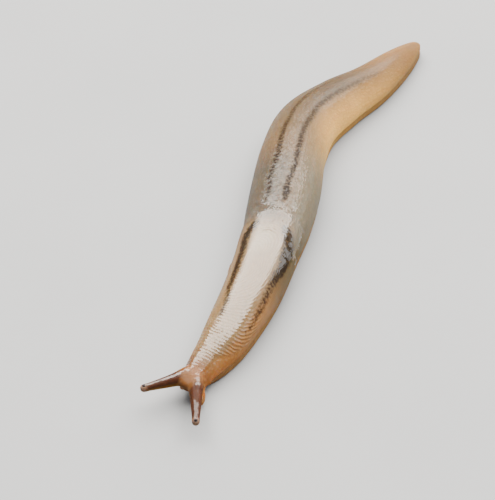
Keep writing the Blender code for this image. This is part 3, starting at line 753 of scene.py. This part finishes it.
def at_back(table):
    """What a table of (distance back, value) says at each point."""
    return np.interp(back, *np.transpose(table))


around = share * half
ring_reach = np.hypot(back - RING_CENTRE_BACK, RING_STRETCH * (around - at_back(RING_CENTRES)))
bands = sum(band_at(back, around, band) for band in BANDS.values())
mantle = soft_step(-0.08, 0.05, depth) * body_only * soft_step(23.2, 20.2, back)
# only the middles of the two front lines of the web, or the feelers' roots would count as web
WEB_MIDDLE = slice(7, 18)
beyond_front_web = [
    near_line(points, line[WEB_MIDDLE], radii[WEB_MIDDLE])[1] for line, radii in web_lines[:2]
]
on_web = soft_step(0.42, 0.0, np.min(beyond_front_web, axis=0)) * soft_step(0.05, 0.35, off_body)
along_feeler = np.zeros(len(points))
top_of_feeler = np.zeros(len(points))
is_left = np.zeros(len(points), dtype=bool)
for name, (along, beyond, away) in at_eye_feelers.items():
    on_it = (np.abs(beyond) < 0.25) & (along > 0.12) & (off_body > 0.05)
    along_feeler = np.where(on_it, along, along_feeler)
    top_of_feeler = np.where(on_it, away[:, 2], top_of_feeler)
    is_left = np.where(on_it, name == "left", is_left)
print("points on the eye feelers:", int((along_feeler > 0).sum()))
print("points in the mantle:", int((mantle > 0.5).sum()))

# %% [markdown]
# ## Large colours of the skin
#
# Slug skin is nearly clear jelly over a layer of pigment. Where the pigment is thin, as at the
# cheeks and the edge of the foot, the body glows orange; the back carries a fine brown dust. These
# wide, soft changes are painted on the points as one colour attribute, mixed by masks of the map.
# Fine speckles are left to the material, which can draw them smaller than a face. The colours look
# dark here because the film of slime adds its own pale sheen on top.


# %% Paint the points
def linear(hexes):
    """An sRGB hex colour as linear red, green and blue."""
    parts = np.array([int(hexes[i:i + 2], 16) / 255 for i in (1, 3, 5)])
    return np.where(parts <= 0.04045, parts / 12.92, ((parts + 0.055) / 1.055) ** 2.4)


height = points[:, 2]
beside = np.abs(share)
to_left = soft_step(0.05, 0.45, share)
behind_mantle = soft_step(19.5, 23.0, back)
cheek = soft_step(9.5, 4.0, back) * soft_step(0.35, 0.8, beside)
by_feeler_root = soft_step(1.0, 1.6, back) * soft_step(3.8, 2.4, back)
by_feeler_root *= soft_step(-0.15, -0.40, share) * soft_step(-0.85, -0.60, share)
on_spot = swell(1, 19.1, 1.8, back) * swell(1, -0.2, 1.0, around)
on_feeler = soft_step(0.12, 0.36, along_feeler) * (1 - 0.75 * on_web)
under_feeler = soft_step(0.35, -0.45, top_of_feeler)
# what it is: colour and how much of it lies at each point, each over the ones before it
LAYERS = {
    "left flank, front": ("#6E4C29", soft_step(0.25, 0.55, share) * soft_step(16.0, 11.0, back)),
    "left flank, under the mantle": (
        "#382E18", to_left * soft_step(9.5, 19.0, back) * soft_step(43.0, 30.0, back) * 0.95),
    # painted sheen: a grey that stands for the sky's broad reflection on the flank behind the
    # mantle
    "left flank, painted grey sheen": (
        "#4C4537", to_left * soft_step(20.0, 25.0, back) * soft_step(41.0, 29.0, back) * 0.95),
    "back behind the mantle": (
        "#3A332A", behind_mantle * soft_step(38.0, 30.0, back) * soft_step(0.4, -0.1, share)),
    "back, middle": ("#473A2A", soft_step(30.0, 38.0, back) * soft_step(0.55, 0.1, share)),
    "back, rear": ("#352A1E", soft_step(37.0, 47.0, back) * soft_step(0.4, 0.0, share) * 0.85),
    "left flank, rear": ("#C8984E", soft_step(0.1, 1.05, share) * soft_step(29.0, 43.0, back)),
    "tail": ("#5E4426", soft_step(46.0, 57.0, back) * 0.88),
    "top of the mantle": (
        "#5C4A32", mantle * soft_step(0.8, 0.3, beside) * soft_step(0.5, 0.3, share) * 0.85),
    "pale spot of the mantle": ("#6E6350", mantle * on_spot * 0.8),
    "cheeks": ("#7A4C1C", cheek * (1 - 0.5 * mantle) * 0.9),
    "front of the cheeks": (
        "#703C0A", soft_step(5.0, 2.5, back) * soft_step(0.45, 0.85, beside) * 0.9),
    "edge of the foot": ("#5C4222", soft_step(1.05, 0.8, height) * 0.8),
    "sole": ("#80663E", soft_step(0.08, 0.0, height)),
    "top of the head": ("#543010", soft_step(3.6, 1.6, back) * soft_step(0.9, 0.4, beside) * 0.8),
    "behind the right feeler": ("#3C2216", by_feeler_root * 0.75),
    "eye feelers": ("#291712", on_feeler * 0.92),
    "eye feelers, below": ("#6A4A1C", on_feeler * under_feeler * 0.85),
    "feeler tips": ("#665448", soft_step(0.88, 0.97, along_feeler) * 0.75),
    "web": ("#5C3E26", on_web * 0.55),
    "lip of the breathing hole": ("#7C6038", swell(0.7, 0.42, 0.16, from_hole)),
    # painted shade: the dark of the open breathing hole is painted into its shallow pit
    "painted shade in the breathing hole": ("#1A100A", swell(0.9, 0.0, 0.2, from_hole)),
}
tone = np.tile(linear("#553F27"), (len(points), 1))
for colour, mask in LAYERS.values():
    tone += (linear(colour) - tone) * mask[:, None]
print("colour layers:", len(LAYERS), "mean linear colour:", tone.mean(0).round(3))

# %% [markdown]
# ## How rough the skin is
#
# On the mantle the ridges are strongest at the front and nearly gone in the middle. Behind it the
# back is grained, which breaks the sheen into silvery mottling. Cheeks and feelers are smooth. So
# the depth of the relief is painted too, in thousandths of a millimetre.

# %% Paint the relief
# distance back, share of the half girth where the film of slime ends
FILM_LEFT = (
    (2.0, -0.10), (3.6, 0.05), (5.6, 0.18), (8.5, 0.26), (11.0, 0.24), (13.5, 0.28), (16.0, 0.42),
    (20.0, 0.55),
)
FILM_RIGHT = (
    (2.0, -0.50), (3.2, -0.32), (5.1, -0.16), (7.6, -0.09), (10.2, -0.12), (13.0, -0.20),
    (16.0, -0.26), (20.0, -0.31),
)
# distance back, how far the film thins out beyond its left end
FILM_FADES = ((2.0, 0.12), (5.0, 0.38), (7.0, 0.40), (9.0, 0.26), (11.0, 0.16), (14.0, 0.10))
RELIEF = {"flanks": 8.0, "back": 14.0, "head": 4.0, "cheeks": 3.0, "feelers": 8.0, "mantle": 4.0}
MORE_AT_FRONT = 4.0
MORE_ON_LEFT = 22.0
MORE_AT_REAR = 6.0


def blend(values, wanted, mask):
    """values, changed to the wanted ones where the mask is 1."""
    return values + (wanted - values) * mask


film_left, film_right = at_back(FILM_LEFT), at_back(FILM_RIGHT)
in_film = soft_step(film_left + at_back(FILM_FADES), film_left - 0.03, share)
in_film *= soft_step(film_right - 0.12, film_right + 0.06, share)
ribbed = soft_step(-0.05, 0.12, share) * soft_step(0.78, 0.55, share)
at_front = (MORE_AT_FRONT + MORE_ON_LEFT * ribbed) * (1 - in_film) * soft_step(11.5, 8.0, back)
mantle_relief = RELIEF["mantle"] + at_front + MORE_AT_REAR * soft_step(19.5, 22.0, back)
grained = soft_step(0.85, 0.45, beside) * soft_step(19.5, 24.0, back)
relief = np.full(len(points), RELIEF["flanks"])
relief = blend(relief, RELIEF["back"], grained)
relief = blend(relief, mantle_relief, mantle)
relief = blend(relief, RELIEF["head"], soft_step(3.4, 1.6, back))
relief = blend(relief, RELIEF["cheeks"], soft_step(7.0, 4.5, back) * soft_step(0.45, 0.65, beside))
relief = blend(relief, RELIEF["feelers"], on_feeler)
print("relief in micrometres:", relief.min().round(1), "to", relief.max().round(1))

# %% [markdown]
# ## Where the film of slime lies
#
# The film is uneven: whole on top of the mantle, broken on the back and feelers, and hardly there
# on the flanks. It could be one painted mask, but its edge is far finer than the faces. So five
# smooth numbers are painted, and the material makes the fine edge from them: how far the film
# covers the skin (wet), how strong its gloss is, how much noise breaks it (mottle), how far the
# ridges stand out of it like a comb's teeth, and how thin a film is left where it is broken.

# %% Paint the slime
# share along a feeler, and how wet and how glossy the left one is there; the right one is even
ALONG_LEFT = (0.06, 0.22, 0.34, 0.44, 0.52, 0.64, 0.90, 1.0)
WET_LEFT = (0.5, 0.55, 0.42, 0.0, 0.0, 0.60, 0.60, 0.30)
GLOSS_LEFT = (0.7, 0.7, 0.6, 0.4, 0.35, 0.45, 0.45, 0.3)
WET_RIGHT, GLOSS_RIGHT = 0.78, 0.95
WET_BACK, WET_REAR = 0.62, 0.70
GLOSS_BACK, GLOSS_REAR = 0.37, 0.24
# how far up a feeler's skin must face to hold the film: where it is lost, and where it is whole
LEFT_TOP, RIGHT_TOP = (0.62, 0.82), (0.90, 0.955)
ARCS_IN_WET, ARCS_IN_COMB = 0.42, 0.34

rear = soft_step(30.0, 38.0, back)
slimy_feeler = soft_step(0.06, 0.22, along_feeler) * (1 - on_web)
feeler_wet = np.where(is_left, np.interp(along_feeler, ALONG_LEFT, WET_LEFT), WET_RIGHT)
feeler_gloss = np.where(is_left, np.interp(along_feeler, ALONG_LEFT, GLOSS_LEFT), GLOSS_RIGHT)
off_top = np.where(
    is_left, soft_step(*LEFT_TOP[::-1], top_of_feeler), soft_step(*RIGHT_TOP[::-1], top_of_feeler))
top_of_back = soft_step(-0.42, -0.22, share) * soft_step(0.62, 0.34, share)
# fine arcs at the rear of the mantle
arcs = swell(1, 20.5, 0.5, back) * swell(1, 0.02, 0.16, share)

wet = in_film * soft_step(0.8, 2.4, back) * (1 - 0.2 * soft_step(8.5, 4.0, back))
wet = blend(wet, WET_BACK * top_of_back, soft_step(21.0, 25.5, back))
wet = blend(wet, WET_REAR, rear)
wet = blend(wet, feeler_wet, slimy_feeler)
wet *= (1 - slimy_feeler * off_top) * (1 - on_web)
wet -= ARCS_IN_WET * arcs

crest_line = swell(GLOSS_REAR, 0.03, 0.30, share) * soft_step(60.0, 50.0, back)
gloss = 1.0 - 0.1 * soft_step(5.0, 2.5, back)
gloss = blend(gloss, GLOSS_BACK, soft_step(20.5, 26.5, back))
gloss = blend(gloss, crest_line, rear)
gloss = blend(gloss, feeler_gloss, slimy_feeler)

left_edge = soft_step(15.0, 18.0, back) * soft_step(0.22, 0.36, share) * mantle
mottle = np.clip(0.65 * mantle + soft_step(19.0, 23.5, back) * (1.0 - 0.65 * rear), 0, 1)
mottle = np.maximum(mottle, 1.1 * np.maximum(soft_step(10.0, 6.5, back), left_edge))
mottle = blend(mottle, 0.9, slimy_feeler)

neck = soft_step(1.2, 2.4, back) * soft_step(6.5, 4.5, back) * (1 - slimy_feeler)
core = soft_step(film_left + 0.02, film_left - 0.12, share)
core *= soft_step(film_right - 0.02, film_right + 0.10, share)
comb = 0.40 + 0.12 * soft_step(9.0, 6.0, back)
comb *= np.maximum(mantle * soft_step(22.0, 16.0, back), neck) * (1 - 0.7 * core)
comb *= 1 - 0.5 * soft_step(14.5, 17.0, back) * soft_step(0.2, 0.35, share)
comb = np.maximum(comb, ARCS_IN_COMB * arcs)

thinnest = 0.2 * (1 - 0.7 * on_feeler) * (1 - 0.5 * on_web)
print("points under slime:", int((wet > 0.5).sum()))


# %% Store the attributes
def store(mesh, name, kind, key, values):
    """Adds a point attribute of that kind; key is what the kind calls its values."""
    layer = mesh.attributes.new(name, kind, "POINT")
    layer.data.foreach_set(key, np.ascontiguousarray(values, dtype=np.float32).ravel())


NUMBERS = {
    "ring_mm": ring_reach, "mantle": mantle, "feeler": on_feeler, "relief_um": relief, "wet": wet,
    "gloss": gloss, "mottle": mottle, "comb": comb, "thinnest": thinnest,
    "band": np.clip(bands, 0, 1),
}
map_mm = np.stack([around, back, np.zeros(len(back))], -1)
store(mesh, "map_mm", "FLOAT_VECTOR", "vector", map_mm)
store(mesh, "tone", "FLOAT_COLOR", "color", np.column_stack([tone, np.ones(len(tone))]))
for name, values in NUMBERS.items():
    store(mesh, name, "FLOAT", "value", values)
print("attributes:", ["map_mm", "tone", *NUMBERS])

# %% [markdown]
# ## A helper for node trees
#
# A node tree built in a script is easier to follow if each node takes one line. One function adds a
# node, sets its settings and fills its sockets, either with a value or with a link. A link may name
# a socket, or just a node, which then gives its first output. The kinds and settings that come up
# again and again get short names: TIMES_PLUS multiplies inputs 0 and 1, then adds input 2.


# %% Add a node
MATH, MIX = "ShaderNodeMath", "ShaderNodeMix"
MAP_RANGE, NOISE = "ShaderNodeMapRange", "ShaderNodeTexNoise"
TIMES, TIMES_PLUS = {"operation": "MULTIPLY"}, {"operation": "MULTIPLY_ADD"}
NUMBER, COLOUR = {"data_type": "FLOAT"}, {"data_type": "RGBA"}
SOFT = {"interpolation_type": "SMOOTHSTEP"}


def add(tree, kind, settings=None, sockets=None):
    """A new node in the tree; a socket takes a value, another node's socket or another node."""
    node = tree.nodes.new(kind)
    for key, value in (settings or {}).items():
        setattr(node, key, value)
    for key, value in (sockets or {}).items():
        if isinstance(value, bpy.types.Node):
            value = value.outputs[0]
        if isinstance(value, bpy.types.NodeSocket):
            tree.links.new(value, node.inputs[key])
        else:
            node.inputs[key].default_value = value
    return node


def new_material(name):
    """An empty node material and its tree."""
    made = bpy.data.materials.new(name)
    made.use_nodes = True
    made.node_tree.nodes.clear()
    return made, made.node_tree


RIDGE_PITCH = 0.34
WANDER = 0.55


def ridge_wave(tree, spot, ring, pitch):
    """A wave from -1 to 1 over the mantle's rings, a pitch long, whose rings wander a little."""
    noise = add(tree, NOISE, {}, {"Vector": spot, "Scale": 0.8, "Detail": 3.5})
    reach = add(tree, MATH, TIMES_PLUS, {0: noise, 1: WANDER, 2: ring})
    turns = add(tree, MATH, {"operation": "DIVIDE"}, {0: reach, 1: pitch})
    angle = add(tree, MATH, TIMES, {0: turns, 1: 2 * math.pi})
    return add(tree, MATH, {"operation": "SINE"}, {0: angle})


# %% [markdown]
# ## Wet slug skin
#
# Living skin under a film of slime. The skin is soft tissue with the refractive index of water and
# protein, about 1.38, and light goes a millimetre into it and comes out warmer, which is subsurface
# scattering with red reaching furthest. The dark pigment of the bands lies on top and stops most of
# that. The slime is a clear coat that is far smoother than the skin. It alone is glossy here: the
# skin's own specular is off, and the film's index is 1.5, above that of real slime, to make up for
# it. So the film's mask says where highlights are, and ridges and noise tear its edge into teeth.
# The mantle's ridges lie 0.34 mm apart in rings, and the rest of the skin has rows of long grains,
# about 0.34 mm wide.

# %% What the material reads
GRAIN_WIDTH = 0.34
GRAIN_LENGTH = 0.62
# noise features to the metre: 0.11, 0.67 and 0.28 mm wide
FINE, DAPPLE, SPECK = 9000.0, 1500.0, 3600.0
MICROMETRE = 0.000001
skin_look, tree = new_material("wet_slug_skin")
read = {
    name: add(tree, "ShaderNodeAttribute", {"attribute_name": name}).outputs["Fac"]
    for name in NUMBERS
}
map_place = add(tree, "ShaderNodeAttribute", {"attribute_name": "map_mm"}).outputs["Vector"]
painted = add(tree, "ShaderNodeAttribute", {"attribute_name": "tone"}).outputs["Color"]
place = add(tree, "ShaderNodeTexCoord").outputs["Object"]
fine, dapple, speck = (
    add(tree, NOISE, {}, {"Vector": place, "Scale": scale, "Detail": detail})
    for scale, detail in ((FINE, 3.0), (DAPPLE, 4.0), (SPECK, 3.0))
)

# %% Ridges and grains
FINE_SHARE = 0.2
wave = ridge_wave(tree, map_place, read["ring_mm"], RIDGE_PITCH)
ridge = add(tree, MATH, TIMES_PLUS, {0: wave, 1: 0.5, 2: 0.5})
stretched = add(tree, "ShaderNodeVectorMath", TIMES,
                {0: map_place, 1: (1 / GRAIN_WIDTH, 1 / GRAIN_LENGTH, 1.0)})
cells = add(tree, "ShaderNodeTexVoronoi", {"feature": "DISTANCE_TO_EDGE"},
            {"Vector": stretched, "Scale": 1.0, "Randomness": 0.85}).outputs["Distance"]
grain = add(tree, MAP_RANGE, SOFT, {"Value": cells, "From Max": 0.32})
ridge_or_grain = add(tree, MIX, NUMBER, {0: read["mantle"], 2: grain, 3: ridge})
smooth_feeler = add(tree, MIX, NUMBER, {0: read["feeler"], 2: ridge_or_grain, 3: speck})
uneven = add(tree, MATH, TIMES_PLUS, {0: fine, 1: FINE_SHARE, 2: smooth_feeler})
bumps = add(tree, MATH, TIMES, {0: uneven, 1: read["relief_um"]})
facing = add(tree, "ShaderNodeBump", {}, {"Height": bumps, "Strength": 1.0, "Distance": MICROMETRE})

# %% Colour, painted shade in the grooves, bands and dust
BAND_PIGMENT, DUST = "#120D09", "#5A3A28"
BAND_TORN = 2.2
TORN_BY_MOTTLE, TORN_ANYWAY = 0.9, 0.05
shade = add(tree, MAP_RANGE, {},
            {"Value": dapple, "From Min": 0.3, "From Max": 0.7, "To Min": 0.92, "To Max": 1.07})
# painted shade: the grooves between the ridges and grains are painted darker
groove_shade = add(tree, MAP_RANGE, {},
             {"Value": ridge_or_grain, "From Max": 0.8, "To Min": 0.93, "To Max": 1.02})
mottle_and_shade = add(tree, MATH, TIMES, {0: shade, 1: groove_shade})
toned = add(tree, "ShaderNodeVectorMath", {"operation": "SCALE"}, {0: painted, "Scale": mottle_and_shade})
# the band's edge is torn by noise, most where the film is mottled
torn = add(tree, MATH, TIMES_PLUS, {0: speck, 1: BAND_TORN, 2: -BAND_TORN / 2})
how_torn = add(tree, MATH, TIMES_PLUS, {0: read["mottle"], 1: TORN_BY_MOTTLE, 2: TORN_ANYWAY})
ragged = add(tree, MATH, TIMES, {0: torn, 1: how_torn})
broken = add(tree, MATH, {"operation": "ADD"}, {0: read["band"], 1: ragged})
in_band = add(tree, MAP_RANGE, SOFT,
              {"Value": broken, "From Min": 0.16, "From Max": 0.95, "To Max": 0.94})
near_band = add(tree, MAP_RANGE, {}, {"Value": read["band"], "From Min": 0.04, "From Max": 0.2})
pigment = add(tree, MATH, TIMES, {0: in_band, 1: near_band})
banded = add(tree, MIX, COLOUR, {0: pigment, 6: toned, 7: (*linear(BAND_PIGMENT), 1)}).outputs[2]
dust = add(tree, MAP_RANGE, SOFT,
           {"Value": speck, "From Min": 0.56, "From Max": 0.72, "To Max": 0.16})
colour = add(tree, MIX, COLOUR, {0: dust, 6: banded, 7: (*linear(DUST), 1)}).outputs[2]

# %% The film's fine edge
DAPPLE_SHARE = 1.3
BREAK_DEPTH, BREAK_LEVEL = 1.5, -1.72
FILM_OVER_BAND, LEAST_OVER_BAND = -0.45, -0.13
LINES_IN_FILM = 0.25
toothed = add(tree, MATH, TIMES_PLUS, {0: wave, 1: read["comb"], 2: read["wet"]})
patches = add(tree, MATH, TIMES_PLUS, {0: dapple, 1: DAPPLE_SHARE, 2: speck})
centred = add(tree, MATH, TIMES_PLUS, {0: patches, 1: BREAK_DEPTH, 2: BREAK_LEVEL})
breaks = add(tree, MATH, TIMES, {0: centred, 1: read["mottle"]})
uncut = add(tree, MATH, {"operation": "ADD"}, {0: toothed, 1: breaks})
cover = add(tree, MATH, TIMES_PLUS, {0: pigment, 1: FILM_OVER_BAND, 2: uncut})
covered = add(tree, MAP_RANGE, SOFT, {"Value": cover, "From Min": 0.36, "From Max": 0.62})
fine_lines = add(tree, MATH, TIMES_PLUS, {0: ridge, 1: LINES_IN_FILM, 2: speck})
thickness = add(tree, MAP_RANGE, {}, {
    "Value": fine_lines, "From Min": 0.40, "From Max": 0.80, "To Min": 0.80, "To Max": 1.06,
})
full = add(tree, MATH, TIMES, {0: thickness, 1: read["gloss"]})
amount = add(tree, MATH, TIMES, {0: covered, 1: full})
least = add(tree, MATH, TIMES_PLUS, {0: pigment, 1: LEAST_OVER_BAND, 2: read["thinnest"]})
film = add(tree, MATH, {"operation": "MAXIMUM"}, {0: amount, 1: least})

# %% Wet slug skin
GLOW, GLOW_OVER_BAND = 0.5, -0.42
rough = add(tree, MAP_RANGE, {}, {"Value": dapple, "To Min": 0.30, "To Max": 0.46})
glow = add(tree, MATH, TIMES_PLUS, {0: pigment, 1: GLOW_OVER_BAND, 2: GLOW})
shader = add(tree, "ShaderNodeBsdfPrincipled", {"subsurface_method": "RANDOM_WALK"}, {
    "Base Color": colour, "Roughness": rough, "IOR": 1.38, "Specular IOR Level": 0.0,
    "Normal": facing, "Subsurface Weight": glow, "Subsurface Radius": (1.0, 0.40, 0.15),
    "Subsurface Scale": 0.0008, "Coat Weight": film, "Coat Roughness": 0.07, "Coat IOR": 1.50,
    "Coat Normal": facing,
})
add(tree, "ShaderNodeOutputMaterial", {}, {"Surface": shader})
print("skin material:", len(tree.nodes), "nodes")

# %% [markdown]
# ## Ridges of the mantle
#
# Under a fingertip the mantle feels like a fingerprint: low ridges in rings round a point right of
# the middle. They repeat by a rule, so a Geometry Nodes tree raises them. It reads each point's
# distance from the rings' centre, turns it into the same wave that the material uses, and moves the
# point along its normal. A quarter of the painted relief is raised; finer faces would be needed for
# more, so bump gives the rest.


# %% A Geometry Nodes tree for the ridges
def ridge_tree():
    """A tree whose inputs are the ridges' pitch, their rise per painted micrometre and a look."""
    tree = bpy.data.node_groups.new("mantle_ridges", "GeometryNodeTree")
    face = tree.interface
    face.new_socket("Geometry", in_out="INPUT", socket_type="NodeSocketGeometry")
    for name in ("Pitch in mm", "Rise in m"):
        face.new_socket(name, in_out="INPUT", socket_type="NodeSocketFloat")
    face.new_socket("Look", in_out="INPUT", socket_type="NodeSocketMaterial")
    face.new_socket("Geometry", in_out="OUTPUT", socket_type="NodeSocketGeometry")
    given = add(tree, "NodeGroupInput").outputs
    stored = {"ring_mm": "FLOAT", "mantle": "FLOAT", "relief_um": "FLOAT", "map_mm": "FLOAT_VECTOR"}
    ring, inside, deep, spot = (
        add(tree, "GeometryNodeInputNamedAttribute", {"data_type": kind}, {"Name": name})
        for name, kind in stored.items()
    )
    rise = ridge_wave(tree, spot, ring, given["Pitch in mm"])
    for factor in (inside, deep, given["Rise in m"]):
        rise = add(tree, MATH, TIMES, {0: rise, 1: factor})
    outward = add(tree, "GeometryNodeInputNormal").outputs["Normal"]
    move = add(tree, "ShaderNodeVectorMath", {"operation": "SCALE"}, {0: outward, "Scale": rise})
    moved = add(tree, "GeometryNodeSetPosition", {},
                {"Geometry": given["Geometry"], "Offset": move})
    real = add(tree, "GeometryNodeRealizeInstances", {}, {"Geometry": moved})
    dressed = add(tree, "GeometryNodeSetMaterial", {},
                  {"Geometry": real, "Material": given["Look"]})
    add(tree, "NodeGroupOutput", {}, {"Geometry": dressed})
    return tree


def set_input(modifier, name, value):
    """Sets a Geometry Nodes input by its socket's identifier."""
    sockets = modifier.node_group.interface.items_tree
    key = next(s.identifier for s in sockets if s.name == name and s.in_out == "INPUT")
    modifier[key] = value


# %% Raise the ridges
RAISED_SHARE = 0.25
ridges = skin.modifiers.new("mantle_ridges", "NODES")
ridges.node_group = ridge_tree()
set_input(ridges, "Pitch in mm", RIDGE_PITCH)
set_input(ridges, "Rise in m", RAISED_SHARE * MICROMETRE)
set_input(ridges, "Look", skin_look)
graph = bpy.context.evaluated_depsgraph_get()
graph.update()
finished = bpy.data.meshes.new_from_object(
    skin.evaluated_get(graph), preserve_all_data_layers=True, depsgraph=graph)
skin.modifiers.clear()
skin.data = finished
finished.name = "slug_skin"
finished.shade_smooth()
print("finished skin:", sum(len(p.vertices) - 2 for p in finished.polygons), "triangles")

# %% Place it in the frame
flesh = [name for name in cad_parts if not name.startswith("eye_") or "feeler" in name]
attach(skin, "root")
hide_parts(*flesh)
print("the skin stands for", len(flesh), "nodes")

# %% [markdown]
# ## The eyes
#
# Each eye is a black dot a third of a millimetre wide in the upper side of a feeler's bulb. It is a
# cup of dark pigment under clear skin, so it looks nearly black, with only a soft shine. A ball
# sunk in the bulb gives the same round dot from every side.

# %% Eyes
EYE_RADIUS = 0.18
EYE_BACK_FROM_TIP = 0.33
EYE_ABOVE_MIDDLE = 0.26
EYE_CLOUD = 8000.0
eye_look, tree = new_material("eye_pigment_under_clear_skin")
place = add(tree, "ShaderNodeTexCoord").outputs["Object"]
cloud = add(tree, NOISE, {}, {"Vector": place, "Scale": EYE_CLOUD, "Detail": 2.0})
black = add(tree, MIX, COLOUR,
            {0: cloud, 6: (*linear("#0B090B"), 1), 7: (*linear("#2A2022"), 1)}).outputs[2]
glass = add(tree, "ShaderNodeBsdfPrincipled", {}, {
    "Base Color": black, "Roughness": 0.35, "IOR": 1.38, "Specular IOR Level": 0.2,
})
add(tree, "ShaderNodeOutputMaterial", {}, {"Surface": glass})


def eye(name, line):
    """A small round eye set in the upper side of the feeler's bulb."""
    way = unit(line[-1] - line[-2])
    upward = unit(np.array([0, 0, 1.0]) - way[2] * way)
    place = line[-1] - way * EYE_BACK_FROM_TIP + upward * EYE_ABOVE_MIDDLE
    ball = bmesh.new()
    bmesh.ops.create_icosphere(ball, subdivisions=4, radius=EYE_RADIUS * MM)
    bmesh.ops.translate(ball, verts=ball.verts, vec=Vector(place * MM))
    mesh = bpy.data.meshes.new(name)
    ball.to_mesh(mesh)
    ball.free()
    mesh.materials.append(eye_look)
    mesh.shade_smooth()
    return put_in_scene(name, mesh)


for side, (line, _) in feeler_lines.items():
    made = eye(f"dark_eye_{side}", line)
    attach(made, "root")
    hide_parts(f"eye_{side}")
print("eyes:", 2 * EYE_RADIUS, "mm wide")

# %% [markdown]
# ## Floor, light and camera
#
# The slug lies on a plain pale floor. A broad soft panel high behind it stands for an overcast sky:
# wet skin shows it as the long pale sheen down the back. Another, low behind on the animal's left,
# lights the flank, and a weak one in front opens the shadows. The camera looks down at 40 degrees
# along the animal, through a long lens.


# %% Floor
FLOOR_REACH = 1.2
FLOOR_CLOUD = 60.0
FLOOR_DROP = 0.02 * MM


def floor():
    """A pale floor with a faint mottle."""
    signs = ((-1, -1), (1, -1), (1, 1), (-1, 1))
    corners = [(x * FLOOR_REACH, y * FLOOR_REACH, 0) for x, y in signs]
    mesh = bpy.data.meshes.new("floor")
    mesh.from_pydata(corners, [], [(0, 1, 2, 3)])
    look, tree = new_material("pale_matt_floor")
    place = add(tree, "ShaderNodeTexCoord").outputs["Object"]
    cloud = add(tree, NOISE, {}, {"Vector": place, "Scale": FLOOR_CLOUD, "Detail": 3.0})
    pale = add(tree, MIX, COLOUR,
               {0: cloud, 6: (*linear("#737577"), 1), 7: (*linear("#7A7C7E"), 1)}).outputs[2]
    matt = add(tree, "ShaderNodeBsdfPrincipled", {},
               {"Base Color": pale, "Roughness": 0.8, "IOR": 1.45})
    add(tree, "ShaderNodeOutputMaterial", {}, {"Surface": matt})
    mesh.materials.append(look)
    return put_in_scene("floor", mesh)


ground = floor()
ground.location.z = -FLOOR_DROP
print("floor:", 2 * FLOOR_REACH, "m wide")

# %% Lights
# place in metres, width and height, watts, colour
PANELS = {
    "sky_behind": ((0.020, 0.201, 0.453), (0.86, 0.70), 34.0, (1.0, 0.95, 0.88)),
    "sky_low": ((0.40, 0.36, 0.17), (1.3, 0.36), 5.0, (1.0, 0.98, 0.95)),
    "front_fill": ((0.30, -0.45, 0.35), (0.5, 0.5), 1.6, (1.0, 0.97, 0.93)),
}
for name, (place, size, power, colour) in PANELS.items():
    light = bpy.data.lights.new(name, "AREA")
    light.shape = "RECTANGLE"
    light.size, light.size_y = size
    light.energy = power
    light.color = colour
    made = put_in_scene(name, light)
    made.location = place
    made.rotation_euler = (-Vector(place)).to_track_quat("-Z", "Y").to_euler()
world = bpy.data.worlds.new("soft_studio")
world.use_nodes = True
surroundings = world.node_tree.nodes["Background"]
surroundings.inputs["Color"].default_value = (0.84, 0.86, 0.90, 1)
surroundings.inputs["Strength"].default_value = 0.55
bpy.context.scene.world = world
print("lights:", list(PANELS))

# %% Camera
CAMERA_TARGET = np.array((-4.3, -5.75, 2.2))
CAMERA_ELEVATION = math.radians(40)
CAMERA_DISTANCE = 300.0
SENSOR_WIDTH = 36.0
FOCAL_LENGTH = 221.6
lens = bpy.data.cameras.new("camera")
lens.sensor_width = SENSOR_WIDTH
lens.lens = FOCAL_LENGTH
lens.clip_start, lens.clip_end = 0.01, 10.0
camera = put_in_scene("camera", lens)
away = np.array((0, -math.cos(CAMERA_ELEVATION), math.sin(CAMERA_ELEVATION)))
camera.location = (CAMERA_TARGET + away * CAMERA_DISTANCE) * MM
camera.rotation_euler = (math.pi / 2 - CAMERA_ELEVATION, 0, 0)
bpy.context.scene.camera = camera
print("camera at", [round(value, 4) for value in camera.location])
